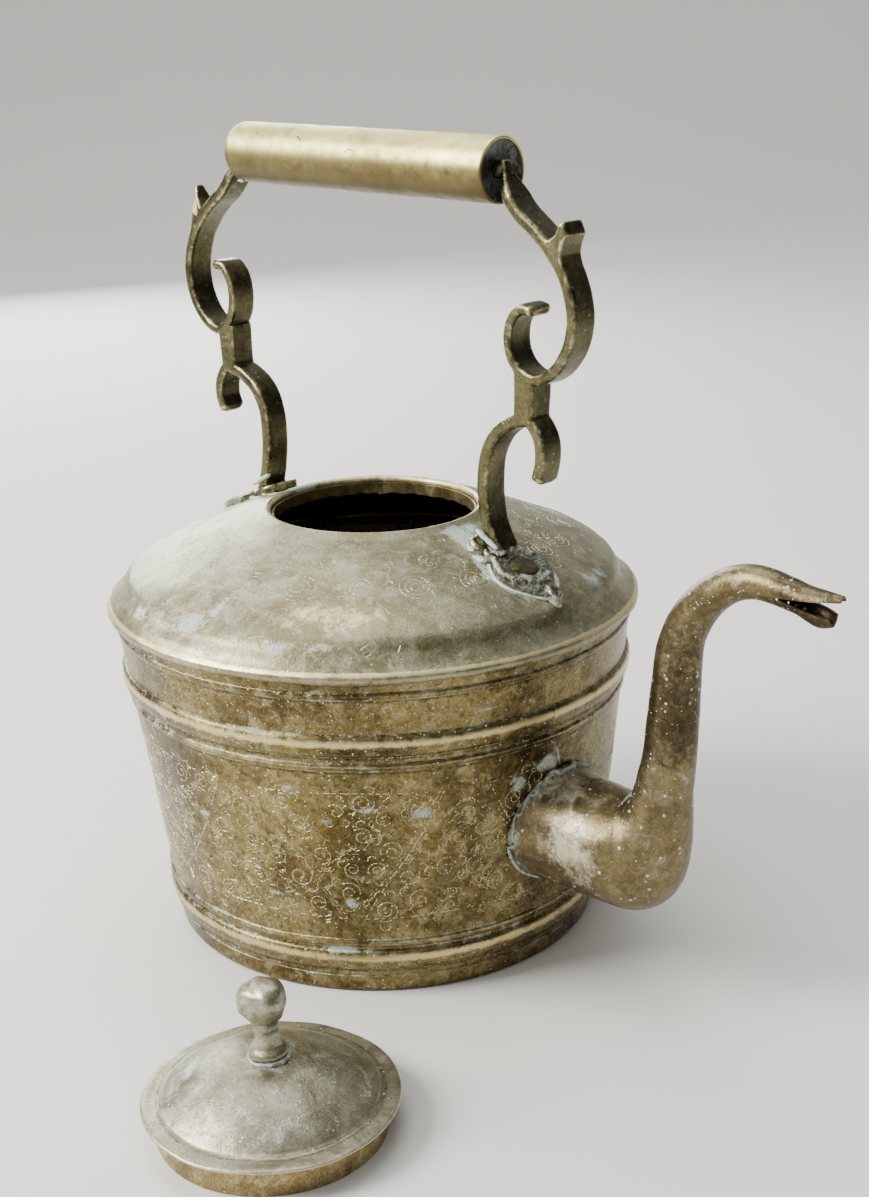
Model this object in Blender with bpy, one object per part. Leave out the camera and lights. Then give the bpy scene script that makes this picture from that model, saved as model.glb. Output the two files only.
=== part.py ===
"""A brass kettle with a fixed scrolled handle, a gooseneck spout and a lift-off lid.

The kettle stands on its flat bottom. The origin is where its upright axis meets the
surface that it stands on, +Z is up, and +X is the way the handle runs and the spout
points. The lid is off the kettle and lies on the same surface beside it.

The dimensions are in millimetres. The meshes are scaled to metres as they are made.
"""
import math

import bmesh
import bpy
from mathutils import Matrix, Vector

MM = 0.001

# Sheet brass and the clearance between pieces that touch
SHEET = 1.0
GAP = 0.3

# Body: a tapered wall, slightly bellied, with half-round beads swaged into it
WALL_LINE_R = 85.4
WALL_TAPER = 0.127
WALL_BELLY = 1.0
WALL_TOP = 129.5
WALL_FLANGE_R = 103.5
WALL_FLANGE_Z = 132.8
BEADS = (  # height of the middle, half height, how far it stands out, steps
    (14.6, 4.3, 2.0, 4),
    (22.0, 1.8, 0.9, 2),
    (97.5, 1.6, 1.0, 2),
    (106.0, 4.4, 2.2, 4),
    (125.6, 1.4, 0.8, 2),
)
WALL_PLAIN_Z = (36.0, 52.0, 68.0, 84.0)

# Bottom pan, whose upstand holds the wall's swaged foot
PAN_R = 85.9
PAN_FLARE = 0.7
PAN_H = 7.1

# Dome over the body, with a step near its edge and a lip folded over the wall's flange
SHOULDER_R = 105.0
SHOULDER_Z = 134.4
LIP_Z = 131.0
DOME_LINE = ((101.5, 136.7), (98.4, 140.2), (96.4, 143.7), (93.8, 146.1), (86.1, 150.4),
             (73.5, 155.5), (57.7, 162.0), (46.0, 165.6))
MOUTH_R = 40.7
MOUTH_ROLL_R = 1.65
MOUTH_ROLL_Z = 165.9
COLLAR_R = 40.4
COLLAR_T = 0.9
COLLAR_Z = (160.8, 165.2)

# Spout
SPOUT_Z = 60.5
SPOUT_HOLE_R = 16.0
SPOUT_SEAM_X = 127.5
SPOUT_SEAM_Z = (80.2, 37.2)
SPOUT_SEAM_HALF = 19.6
SPOUT_ROOT = (  # x, upper and lower height, half width
    (84.0, 84.6, 36.8, 25.2),
    (93.0, 83.4, 37.9, 24.0),
    (101.0, 81.6, 37.6, 22.3),
    (110.0, 80.6, 37.3, 21.0),
    (119.0, 80.2, 37.2, 20.2),
)
SPOUT_ELBOW = (  # inner point, outer point, half width
    ((129.0, 80.5), (136.5, 38.2), 18.8),
    ((129.8, 80.9), (143.4, 42.0), 17.2),
    ((130.6, 81.8), (149.2, 49.6), 15.2),
    ((131.6, 83.6), (152.6, 61.5), 13.0),
    ((132.6, 86.6), (153.6, 75.0), 11.6),
)
SPOUT_ROUTE = (  # x, height and radius along the gooseneck
    (143.6, 88.4, 10.3),
    (145.5, 100.6, 9.6),
    (146.7, 115.3, 9.1),
    (147.7, 129.0, 8.6),
    (149.2, 143.0, 8.05),
    (153.5, 153.5, 7.4),
    (160.3, 162.3, 6.8),
    (169.0, 168.9, 6.1),
    (178.4, 171.8, 5.8),
    (188.0, 171.3, 5.5),
    (197.0, 169.6, 5.3),
)
SPOUT_BEAK = (((204.5, 174.4), (203.5, 161.8), 4.8), ((211.3, 174.0), (210.3, 163.6), 2.4))
BEAK_SLIT = ((188.5, 169.9), (216.0, 172.4), (216.0, 156.0), (208.4, 156.0), (207.6, 166.4))

# Handle: two scrolled arms and a tubular grip, in the plane y = 0
HANDLE_MID_X = 1.7
GRIP_Z = 298.8
GRIP_R = 11.6
GRIP_HALF = 68.2
GRIP_TILT = math.radians(0.64)
CAP_RECESS = 0.8
TANG_R = 3.0
TANG_IN = 12.0
ARM_DEPTH = 11.5
FOOT_T = 4.3
FOOT_BED = 0.6
FOOT_LEAF = (  # how far along the plate, and its half width there
    (0.0, 5.0), (2.5, 6.8), (8.0, 8.4), (15.0, 11.2), (21.0, 11.6), (27.0, 9.6),
    (31.5, 5.6), (33.5, 3.0), (38.0, 2.8),
)
FOOT_X = {"front": 57.0, "rear": 53.0}
RIVET_X = {"front": 77.0, "rear": 74.0}
RIVET_R = 2.0
SIDES = {"front": 1, "rear": -1}

# Centre lines of an arm's members: distance out from the handle's middle, and height.
# The two arms were cast from one pattern and bent a little differently
STEM = ((69.3, 301.6), (71.5, 294.6), (74.9, 288.6), (79.6, 283.6), (86.3, 278.8),
        (92.8, 273.0), (98.3, 266.0), (101.9, 257.5), (102.9, 248.5), (100.4, 239.3),
        (94.6, 231.6), (86.8, 227.9))
SCROLL = {
    "front": ((80.0, 229.6), (75.3, 234.8), (73.9, 241.6), (75.6, 248.0), (79.8, 251.9),
              (84.4, 251.4)),
    "rear": ((81.4, 229.8), (77.4, 235.0), (76.0, 242.0), (77.4, 249.2), (81.4, 254.0),
             (86.2, 254.4)),
}
SPUR = {
    "front": ((89.0, 276.0), (93.8, 279.0), (98.6, 280.4)),
    "rear": ((89.0, 277.0), (93.4, 280.4), (97.8, 283.6)),
}
SPUR_WIDTHS = {"front": (3.4, 6.2), "rear": (3.4, 2.2)}
NECK = ((81.4, 230.0), (80.6, 213.4))
HOOK = {
    "front": ((78.6, 213.4), (83.6, 212.0), (87.5, 206.4), (88.2, 199.0), (86.4, 191.8)),
    "rear": ((78.6, 213.4), (83.6, 212.0), (87.5, 206.4), (88.2, 200.0), (86.2, 194.6)),
}
LEG = {
    "front": ((81.6, 213.0), (75.0, 211.2), (67.0, 205.4), (62.3, 197.2), (60.8, 188.0),
              (61.1, 178.5), (63.2, 169.5), (68.6, 160.2)),
    "rear": ((81.6, 213.0), (73.4, 210.8), (64.8, 205.0), (60.6, 196.8), (59.6, 188.0),
             (60.0, 179.5), (61.4, 171.5), (63.8, 163.4)),
}

# Lid, with the middle of its rim at LID_XY
LID_XY = (91.7, -143.7)
LID_R = 43.2
LID_SHEET = 0.9
LID_CREASE_R = 36.6
LID_CREASE_Z = 12.6
LID_CROWN_Z = 26.2
LID_SKIRT_R = 38.85
LID_SKIRT_H = 10.9
KNOB_BALL_R = 7.8
KNOB_BALL_Z = 19.9
KNOB_LEAN = math.radians(3.5)
KNOB_LEAN_AXIS = (0.69, -0.72, 0.0)

SEGMENTS = 44
LID_SEGMENTS = 40
TUBE_SIDES = 16


# ---------------------------------------------------------------- objects and meshes

def clear_scene():
    for old in list(bpy.data.objects):
        bpy.data.objects.remove(old, do_unlink=True)


def brass(name, colour, roughness, metallic=1.0):
    """A Principled material for one piece."""
    made = bpy.data.materials.new(name)
    made.use_nodes = True
    shader = made.node_tree.nodes["Principled BSDF"]
    shader.inputs["Base Color"].default_value = (*colour, 1.0)
    shader.inputs["Roughness"].default_value = roughness
    shader.inputs["Metallic"].default_value = metallic
    return made


def add_object(name, shape, material=None, place=Matrix.Identity(4)):
    """Link a bmesh drawn in millimetres as an object in metres, and set its place."""
    bmesh.ops.scale(shape, vec=(MM, MM, MM), verts=shape.verts)
    bmesh.ops.recalc_face_normals(shape, faces=shape.faces)
    mesh = bpy.data.meshes.new(name)
    shape.to_mesh(mesh)
    shape.free()
    mesh.shade_smooth()
    mesh.set_sharp_from_angle(angle=math.radians(35))
    made = bpy.data.objects.new(name, mesh)
    bpy.context.scene.collection.objects.link(made)
    location, rotation, _ = place.decompose()
    made.location = location * MM
    made.rotation_mode = "QUATERNION"
    made.rotation_quaternion = rotation
    if material:
        mesh.materials.append(material)
    else:
        made.hide_render = True
        made.display_type = "WIRE"
    return made


def combine(target, other, operation):
    """Cut a hidden tool out of an object, or join a hidden member to it."""
    step = target.modifiers.new(other.name, "BOOLEAN")
    step.operation = operation
    step.solver = "EXACT"
    step.object = other


def turned(outline, segments=SEGMENTS):
    """Revolve a closed outline of (radius, height) points about Z."""
    shape = bmesh.new()
    rings = []
    for radius, height in outline:
        if radius < 1e-6:
            rings.append([shape.verts.new((0.0, 0.0, height))] * segments)
            continue
        turns = [2.0 * math.pi * i / segments for i in range(segments)]
        rings.append([shape.verts.new((radius * math.cos(a), radius * math.sin(a), height))
                      for a in turns])
    for ring, following in zip(rings, rings[1:] + rings[:1]):
        for i in range(segments):
            j = (i + 1) % segments
            corners = []
            for vert in (ring[i], ring[j], following[j], following[i]):
                if vert not in corners:
                    corners.append(vert)
            if len(corners) > 2:
                shape.faces.new(corners)
    return shape


def sheet(line, thickness):
    """Close a line of (radius, height) points into a sheet, thickness to its left."""
    points = [Vector(point) for point in line]
    offset = []
    for i, point in enumerate(points):
        before = points[max(i - 1, 0)]
        after = points[min(i + 1, len(points) - 1)]
        along = (after - before).normalized()
        offset.append(point + thickness * Vector((-along.y, along.x)))
    return points + offset[::-1]


def loft(rings):
    """Skin a row of rings and close both ends."""
    shape = bmesh.new()
    rows = [[shape.verts.new(point) for point in ring] for ring in rings]
    skin(shape, rows)
    shape.faces.new(rows[0])
    shape.faces.new(rows[-1])
    return shape


def hollow_loft(outer, inner):
    """Skin two rows of rings, one inside the other, into a tube open at both ends."""
    shape = bmesh.new()
    outside = [[shape.verts.new(point) for point in ring] for ring in outer]
    inside = [[shape.verts.new(point) for point in ring] for ring in inner]
    skin(shape, outside)
    skin(shape, inside)
    skin(shape, [outside[0], inside[0]])
    skin(shape, [outside[-1], inside[-1]])
    return shape


def skin(shape, rows):
    count = len(rows[0])
    for row, following in zip(rows, rows[1:]):
        for i in range(count):
            j = (i + 1) % count
            shape.faces.new((row[i], row[j], following[j], following[i]))


def smooth_path(points, steps):
    """A Catmull-Rom curve through control points of any dimension."""
    knots = [Vector(point) for point in points]
    knots = [2 * knots[0] - knots[1]] + knots + [2 * knots[-1] - knots[-2]]
    path = []
    for a, b, c, d in zip(knots, knots[1:], knots[2:], knots[3:]):
        for i in range(steps):
            t = i / steps
            path.append(0.5 * (2 * b + (c - a) * t + (2 * a - 5 * b + 4 * c - d) * t * t
                               + (3 * b - a - 3 * c + d) * t ** 3))
    return path + [knots[-2]]


def interpolate(line, at):
    """Read a line of (x, y) points at x, whichever way its x runs."""
    ordered = sorted(line)
    for (x0, y0), (x1, y1) in zip(ordered, ordered[1:]):
        if at <= x1:
            return y0 + (y1 - y0) * (at - x0) / (x1 - x0)
    return ordered[-1][1]


# ---------------------------------------------------------------- body

def wall_radius(height):
    belly = WALL_BELLY * math.sin(math.pi * height / WALL_TOP)
    return WALL_LINE_R + WALL_TAPER * height + belly


def pan_radius(height):
    return PAN_R + PAN_FLARE * height / PAN_H


def wall_outline():
    """The wall's swaged foot, its beaded outside, its top flange and its plain inside."""
    foot_z = SHEET + GAP
    foot_inset = SHEET + GAP
    outside = [(pan_radius(foot_z) - foot_inset - SHEET, foot_z),
               (pan_radius(2.6) - foot_inset, 2.6),
               (pan_radius(PAN_H) - foot_inset, PAN_H + GAP),
               (wall_radius(PAN_H + 1.6), PAN_H + 1.6)]
    plain = [(wall_radius(height), height) for height in WALL_PLAIN_Z]
    swaged = []
    for middle, half, proud, steps in BEADS:
        for i in range(steps + 1):
            t = -1.0 + 2.0 * i / steps
            height = middle + half * t
            stand = proud * math.sqrt(max(0.0, 1.0 - t * t))
            swaged.append((wall_radius(height) + stand, height))
    outside += sorted(plain + swaged, key=lambda point: point[1])
    outside += [(wall_radius(WALL_TOP), WALL_TOP),
                (WALL_FLANGE_R, WALL_FLANGE_Z - SHEET),
                (WALL_FLANGE_R, WALL_FLANGE_Z)]
    inside = [(wall_radius(WALL_TOP) - SHEET, WALL_TOP + SHEET)]
    inside += [(radius - SHEET, height) for radius, height in reversed(plain)]
    inside += [(wall_radius(PAN_H) - 2.4 * SHEET, PAN_H),
               (pan_radius(foot_z) - foot_inset - 2 * SHEET, foot_z)]
    return outside + inside


def mouth_roll(radius, turns):
    """Points round the mouth's rolled edge, from outside to inside."""
    middle_r = MOUTH_R + MOUTH_ROLL_R
    return [(middle_r + radius * math.cos(math.radians(turn)),
             MOUTH_ROLL_Z + radius * math.sin(math.radians(turn))) for turn in turns]


def dome_line():
    """The dome's upper side, from the lip under the shoulder to inside the mouth."""
    lip = [(SHOULDER_R - 0.7, LIP_Z), (SHOULDER_R, LIP_Z + 1.0),
           (SHOULDER_R + 0.1, SHOULDER_Z - 1.0), (SHOULDER_R - 0.6, SHOULDER_Z + 0.2)]
    roll = mouth_roll(MOUTH_ROLL_R, (58, 90, 122, 152, 180))
    return lip + list(DOME_LINE) + roll + [(MOUTH_R, MOUTH_ROLL_Z - 2.4)]


def dome_height(radius):
    """Height of the dome's upper side at a radius outside the mouth."""
    edge = MOUTH_R + MOUTH_ROLL_R
    return interpolate([(edge, MOUTH_ROLL_Z + MOUTH_ROLL_R)] + list(DOME_LINE), radius)


def make_body(materials):
    pan = [(0.0, 0.0), (PAN_R - 1.1, 0.0), (PAN_R - 0.3, 0.4), (pan_radius(1.8), 1.8),
           (pan_radius(PAN_H), PAN_H), (pan_radius(PAN_H) - SHEET, PAN_H),
           (pan_radius(2.0) - SHEET, 2.0), (PAN_R - 2.0 * SHEET, SHEET), (0.0, SHEET)]
    add_object("base_pan", turned(pan), materials["wall"])

    wall = add_object("body_wall", turned(wall_outline()), materials["wall"])
    bore = turned([(0.0, 60.0), (SPOUT_HOLE_R, 60.0), (SPOUT_HOLE_R, 120.0), (0.0, 120.0)],
                  TUBE_SIDES)
    along_x = Matrix.Rotation(math.radians(90), 4, "Y")
    place = Matrix.Translation((0.0, 0.0, SPOUT_Z)) @ along_x
    combine(wall, add_object("cut_spout_hole", bore, place=place), "DIFFERENCE")

    dome = add_object("dome_cover", turned(sheet(dome_line(), SHEET)), materials["dome"])
    for name in SIDES:
        combine(dome, bpy.data.objects["cut_rivet_" + name], "DIFFERENCE")

    low, high = COLLAR_Z
    inner = COLLAR_R - COLLAR_T
    collar = [(COLLAR_R, low), (COLLAR_R, high), (inner, high), (inner, low)]
    add_object("mouth_collar", turned(collar), materials["collar"])


# ---------------------------------------------------------------- spout

def spout_ring(upper, lower, half_width, inset=0.0):
    """An elliptical section between two points of the plane y = 0."""
    upper, lower = Vector(upper), Vector(lower)
    middle = (upper + lower) / 2
    reach = (upper - lower) / 2
    reach *= 1.0 - inset / reach.length
    half_width -= inset
    ring = []
    for i in range(TUBE_SIDES):
        turn = 2.0 * math.pi * i / TUBE_SIDES
        across = middle + reach * math.cos(turn)
        ring.append(Vector((across.x, half_width * math.sin(turn), across.y)))
    return ring


def spout_tube(sections):
    """A thin tube through (upper point, lower point, half width) sections."""
    outer = [spout_ring(*section) for section in sections]
    inner = [spout_ring(*section, inset=SHEET) for section in sections]
    return hollow_loft(outer, inner)


def seam_section(x):
    upper, lower = SPOUT_SEAM_Z
    return (x, upper), (x, lower), SPOUT_SEAM_HALF


def root_sections():
    """The wide, slightly tapering foot of the spout, from inside the wall to the elbow."""
    sections = [((x, upper), (x, lower), half) for x, upper, lower, half in SPOUT_ROOT]
    return sections + [seam_section(SPOUT_SEAM_X - GAP / 2)]


def neck_sections():
    """The elbow, fanned about its inner corner, then the tapering gooseneck and beak."""
    path = smooth_path(SPOUT_ROUTE, 2)
    tube = []
    for i, point in enumerate(path):
        along = path[min(i + 1, len(path) - 1)] - path[max(i - 1, 0)]
        side = Vector((-along.y, along.x)).normalized()
        middle = Vector((point.x, point.y))
        tube.append((middle + side * point.z, middle - side * point.z, point.z))
    seam = seam_section(SPOUT_SEAM_X + GAP / 2)
    return [seam] + list(SPOUT_ELBOW) + tube + list(SPOUT_BEAK)


def make_spout(materials):
    root = add_object("spout_root", spout_tube(root_sections()), materials["spout"])
    heights = range(20, 111, 5)
    clearance = [(wall_radius(height) + GAP, height) for height in heights]
    clearance = [(0.0, heights[0])] + clearance + [(0.0, heights[-1])]
    combine(root, add_object("cut_wall_clearance", turned(clearance, 96)), "DIFFERENCE")

    neck = add_object("spout_neck", spout_tube(neck_sections()), materials["spout"])
    rings = [[Vector((x, y, z)) for x, z in BEAK_SLIT] for y in (-20.0, 20.0)]
    combine(neck, add_object("cut_beak_slit", loft(rings)), "DIFFERENCE")


# ---------------------------------------------------------------- handle

def ribbon(points, widths, depth):
    """A flat bar that follows a path in the plane y = 0 and tapers along it."""
    path = smooth_path(points, 3)
    rings = []
    for i, point in enumerate(path):
        along = (path[min(i + 1, len(path) - 1)] - path[max(i - 1, 0)]).normalized()
        width = widths[0] + (widths[1] - widths[0]) * i / (len(path) - 1)
        side = Vector((-along.y, along.x)) * width / 2
        a, b = point + side, point - side
        half = depth / 2
        rings.append([Vector((a.x, -half, a.y)), Vector((a.x, half, a.y)),
                      Vector((b.x, half, b.y)), Vector((b.x, -half, b.y))])
    return loft(rings)


def foot_plate(start, middle):
    """A leaf-shaped plate that lies along the dome, in the arm's own x."""
    rings = []
    for along, half in FOOT_LEAF:
        radius = start + along
        under = dome_height(radius) + FOOT_BED
        top = under + FOOT_T
        x = radius - middle
        rings.append([Vector((x, y, z)) for y, z in (
            (-half, under), (half, under), (half, top - 1.0),
            (half - 1.0, top), (1.0 - half, top), (-half, top - 1.0))])
    return loft(rings)


def rivet_place(name):
    """Frame on the dome's upper side at a foot's rivet, with its Z square to the dome."""
    x, side = RIVET_X[name], SIDES[name]
    slope = math.atan2(dome_height(x - 2.0) - dome_height(x + 2.0), 4.0)
    turn = Matrix.Rotation(side * slope, 4, "Y")
    return Matrix.Translation((side * x, 0.0, dome_height(x))) @ turn


def grip_place():
    """Frame on the grip's axis, with its Z pointing to the front end."""
    turn = Matrix.Rotation(math.radians(90) + GRIP_TILT, 4, "Y")
    return Matrix.Translation((HANDLE_MID_X, 0.0, GRIP_Z)) @ turn


def make_rivet_holes():
    """Tools for the rivet holes, which the arms and the dome share."""
    for name in SIDES:
        hole = RIVET_R + GAP
        bore = turned([(0.0, -9.0), (hole, -9.0), (hole, 12.0), (0.0, 12.0)], 12)
        add_object("cut_rivet_" + name, bore, place=rivet_place(name))


def make_arm(name, material):
    """One cast arm: stem and scrolls, foot plate, and the tang that enters the grip."""
    side = SIDES[name]
    place = Matrix.Translation((HANDLE_MID_X, 0.0, 0.0))
    if side < 0:
        place = place @ Matrix.Rotation(math.pi, 4, "Z")
    stem = ribbon(STEM + SCROLL[name], (4.8, 3.6), ARM_DEPTH)
    arm = add_object("handle_arm_" + name, stem, material, place)
    members = {
        "spur": ribbon(SPUR[name], SPUR_WIDTHS[name], ARM_DEPTH - 0.6),
        "neck": ribbon(NECK, (9.6, 8.6), ARM_DEPTH - 0.9),
        "hook": ribbon(HOOK[name], (4.6, 4.8), ARM_DEPTH - 1.5),
        "leg": ribbon(LEG[name], (4.8, 5.4), ARM_DEPTH - 1.2),
        "foot": foot_plate(FOOT_X[name], HANDLE_MID_X * side),
    }
    for part, shape in members.items():
        combine(arm, add_object("join_%s_%s" % (part, name), shape, place=place), "UNION")
    end = GRIP_HALF * side
    tang = turned([(0.0, end - TANG_IN * side), (TANG_R, end - TANG_IN * side),
                   (TANG_R, end + 2.6 * side), (0.0, end + 2.6 * side)], 12)
    combine(arm, add_object("join_tang_" + name, tang, place=grip_place()), "UNION")
    combine(arm, bpy.data.objects["cut_rivet_" + name], "DIFFERENCE")


def make_grip(materials):
    bore = GRIP_R - SHEET
    tube = [(GRIP_R, -GRIP_HALF + 0.5), (GRIP_R, GRIP_HALF - 0.5),
            (GRIP_R - 0.4, GRIP_HALF), (bore, GRIP_HALF), (bore, -GRIP_HALF),
            (GRIP_R - 0.4, -GRIP_HALF)]
    add_object("grip_tube", turned(tube, 32), materials["grip"], grip_place())
    hole = TANG_R + GAP
    rim = bore - GAP
    for name, side in SIDES.items():
        depths = ((hole, 2.2), (7.0, 1.9), (rim, CAP_RECESS))
        face = [(radius, side * (GRIP_HALF - depth)) for radius, depth in depths]
        back = [(radius, height - side * SHEET) for radius, height in reversed(face)]
        add_object("grip_cap_" + name, turned(face + back, 32), materials["cap"],
                   grip_place())


def make_rivets(materials):
    """Each rivet holds a foot plate to the dome and is closed over a rove inside."""
    top = FOOT_BED + FOOT_T + GAP
    under = SHEET + 0.5
    tail = under + SHEET + GAP
    body = [(0.0, top + 1.9), (1.7, top + 1.75), (3.4, top + 1.2), (4.6, top),
            (RIVET_R, top), (RIVET_R, -tail), (3.3, -tail), (2.6, -tail - 1.1),
            (0.0, -tail - 1.3)]
    hole = RIVET_R + GAP
    rove = [(hole, -under), (4.8, -under), (4.8, -under - SHEET), (hole, -under - SHEET)]
    for name in SIDES:
        place = rivet_place(name)
        add_object("foot_rivet_" + name, turned(body, 16), materials["arm"], place)
        add_object("foot_rove_" + name, turned(rove, 16), materials["collar"], place)


# ---------------------------------------------------------------- lid

def lid_height(radius):
    rise = LID_CROWN_Z - LID_CREASE_Z
    return LID_CREASE_Z + rise * (1.0 - (radius / LID_CREASE_R) ** 2.3)


def make_lid(materials):
    """Cover, skirt and knob, with the knob's tail riveted over a rove inside."""
    middle = Matrix.Translation((*LID_XY, 0.0))
    hole = 2.6
    cap = [(LID_R, 10.7), (LID_R, 11.3), (LID_R - 0.7, 11.8), (39.5, 12.2)]
    cap += [(radius, lid_height(radius)) for radius in (LID_CREASE_R, 33, 27, 18, 9)]
    cap += [(hole, lid_height(hole))]
    cover = turned(sheet(cap, LID_SHEET), LID_SEGMENTS)
    add_object("lid_cover", cover, materials["lid"], middle)

    inner = LID_SKIRT_R - LID_SHEET
    skirt = [(LID_SKIRT_R, 0.0), (LID_SKIRT_R, LID_SKIRT_H), (inner, LID_SKIRT_H),
             (inner, 0.0)]
    add_object("lid_skirt", turned(skirt, LID_SEGMENTS), materials["skirt"], middle)

    lean = Matrix.Rotation(KNOB_LEAN, 4, KNOB_LEAN_AXIS)
    lean = Matrix.Translation((*LID_XY, LID_CROWN_Z)) @ lean
    ball = []
    for turn in range(-60, 90, 20):
        angle = math.radians(turn)
        ball.append((KNOB_BALL_R * math.cos(angle),
                     KNOB_BALL_Z + KNOB_BALL_R * math.sin(angle)))
    knob = [(0.0, -4.6), (2.4, -4.4), (3.2, -3.4), (2.0, -3.3), (2.0, 0.7), (6.2, 0.7),
            (6.6, 1.6), (6.3, 2.9), (4.9, 4.6), (4.1, 6.6), (3.9, 9.0), (4.2, 11.4)]
    knob += ball + [(0.0, KNOB_BALL_Z + KNOB_BALL_R)]
    add_object("lid_knob", turned(knob, 16), materials["lid"], lean)
    rove = [(2.3, -1.9), (5.4, -1.9), (5.4, -2.9), (2.3, -2.9)]
    add_object("lid_rove", turned(rove, 16), materials["collar"], lean)


def make_materials():
    return {
        "wall": brass("wall_brass", (0.20, 0.145, 0.055), 0.34),
        "dome": brass("dome_brass", (0.34, 0.29, 0.17), 0.50),
        "collar": brass("bright_brass", (0.55, 0.38, 0.16), 0.35),
        "spout": brass("spout_brass", (0.36, 0.27, 0.13), 0.42),
        "arm": brass("cast_brass", (0.36, 0.30, 0.16), 0.42),
        "grip": brass("polished_brass", (0.66, 0.58, 0.33), 0.38),
        "cap": brass("black_brass", (0.045, 0.048, 0.045), 0.35),
        "lid": brass("lid_brass", (0.29, 0.25, 0.16), 0.52),
        "skirt": brass("skirt_brass", (0.42, 0.31, 0.12), 0.40),
    }


def main():
    clear_scene()
    materials = make_materials()
    make_rivet_holes()
    make_body(materials)
    make_spout(materials)
    for name in SIDES:
        make_arm(name, materials["arm"])
    make_grip(materials)
    make_rivets(materials)
    make_lid(materials)


main()
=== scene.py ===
import math
import random

import bmesh
import bpy
import numpy as np
from mathutils import Matrix, Vector, noise


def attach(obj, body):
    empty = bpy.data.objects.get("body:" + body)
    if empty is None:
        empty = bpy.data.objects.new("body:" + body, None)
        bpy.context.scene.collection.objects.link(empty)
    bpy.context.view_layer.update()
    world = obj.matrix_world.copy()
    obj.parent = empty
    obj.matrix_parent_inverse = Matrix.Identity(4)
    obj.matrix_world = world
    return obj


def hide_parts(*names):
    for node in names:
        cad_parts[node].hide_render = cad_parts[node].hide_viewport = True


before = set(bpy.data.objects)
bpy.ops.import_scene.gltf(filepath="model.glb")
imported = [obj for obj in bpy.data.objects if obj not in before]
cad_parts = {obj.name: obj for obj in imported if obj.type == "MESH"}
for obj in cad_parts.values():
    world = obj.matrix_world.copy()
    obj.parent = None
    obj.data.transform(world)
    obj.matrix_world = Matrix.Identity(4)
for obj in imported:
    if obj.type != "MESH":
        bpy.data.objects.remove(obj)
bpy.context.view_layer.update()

MM = 0.001
TAU = 2.0 * math.pi
KETTLE, LID = "kettle", "lid"

# ------------------------------------------------------------- the CAD's dimensions, mm

SHEET = 1.0
WALL_TOP = 129.5
FLANGE = (103.5, 132.8)
BEADS = ((14.6, 4.3, 2.0), (22.0, 1.8, 0.9), (97.5, 1.6, 1.0), (106.0, 4.4, 2.2),
         (125.6, 1.4, 0.8))
PAN_R, PAN_FLARE, PAN_H = 85.9, 0.7, 7.1
SHOULDER_R, SHOULDER_Z, LIP_Z = 105.0, 134.4, 131.0
DOME_CRISP = ((101.5, 136.7), (98.4, 140.2), (96.4, 143.7), (93.8, 146.1), (86.1, 150.4),
              (73.5, 155.5), (57.7, 162.0), (46.0, 165.6))
DOME_SOFT = ((102.2, 137.6), (99.6, 140.2), (97.2, 142.6), (94.0, 145.0), (86.1, 149.6),
             (73.5, 155.3), (57.7, 162.0), (46.0, 165.6))
MOUTH_R, ROLL_R, ROLL_Z = 40.7, 1.65, 165.9
SPOUT_ROOT = ((84.0, 84.6, 36.8, 25.2), (93.0, 83.4, 37.9, 24.0), (101.0, 81.6, 37.6, 22.3),
              (110.0, 80.6, 37.3, 21.0), (119.0, 80.2, 37.2, 20.2), (127.5, 80.2, 37.2, 19.6))
SPOUT_ELBOW = (((129.0, 80.5), (136.5, 38.2), 18.8), ((129.8, 80.9), (143.4, 42.0), 17.2),
               ((130.6, 81.8), (149.2, 49.6), 15.2), ((131.6, 83.6), (152.6, 61.5), 13.0),
               ((132.6, 86.6), (153.6, 75.0), 11.6))
SPOUT_ROUTE = ((143.6, 88.4, 10.3), (145.5, 100.6, 9.6), (146.7, 115.3, 9.1),
               (147.7, 129.0, 8.6), (149.2, 143.0, 8.05), (153.5, 153.5, 7.4),
               (160.3, 162.3, 6.8), (169.0, 168.9, 6.1), (178.4, 171.8, 5.8),
               (188.0, 171.3, 5.5), (197.0, 169.6, 5.3))
SPOUT_BEAK = (((204.5, 174.4), (203.5, 161.8), 4.8), ((211.3, 174.0), (210.3, 163.6), 2.4))
BEAK_SLIT = ((188.5, 169.9), (216.0, 172.4), (216.0, 156.0), (208.4, 156.0), (207.6, 166.4))
HANDLE_X, GRIP_Z, GRIP_R, GRIP_HALF = 1.7, 298.8, 11.6, 68.2
GRIP_TILT = math.radians(0.64)
ARM_DEPTH = 11.9
CAST_EDGE = 1.4
FOOT_T, FOOT_BED = 4.3, 0.5
FOOT_X = {"front": 57.0, "rear": 53.0}
RIVET_X = {"front": 77.0, "rear": 74.0}
SIDES = {"front": 1, "rear": -1}
STEM = ((69.3, 301.6), (71.5, 294.6), (74.9, 288.6), (79.6, 283.6), (86.3, 278.8),
        (92.8, 273.0), (98.3, 266.0), (101.9, 257.5), (102.9, 248.5), (100.4, 239.3),
        (94.6, 231.6), (86.8, 227.9))
SCROLL = {
    "front": ((80.0, 229.6), (75.3, 234.8), (73.9, 241.6), (75.6, 248.0), (79.8, 251.9),
              (84.4, 251.4)),
    "rear": ((81.4, 229.8), (77.4, 235.0), (76.0, 242.0), (77.4, 249.2), (81.4, 254.0),
             (86.2, 254.4)),
}
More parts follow.
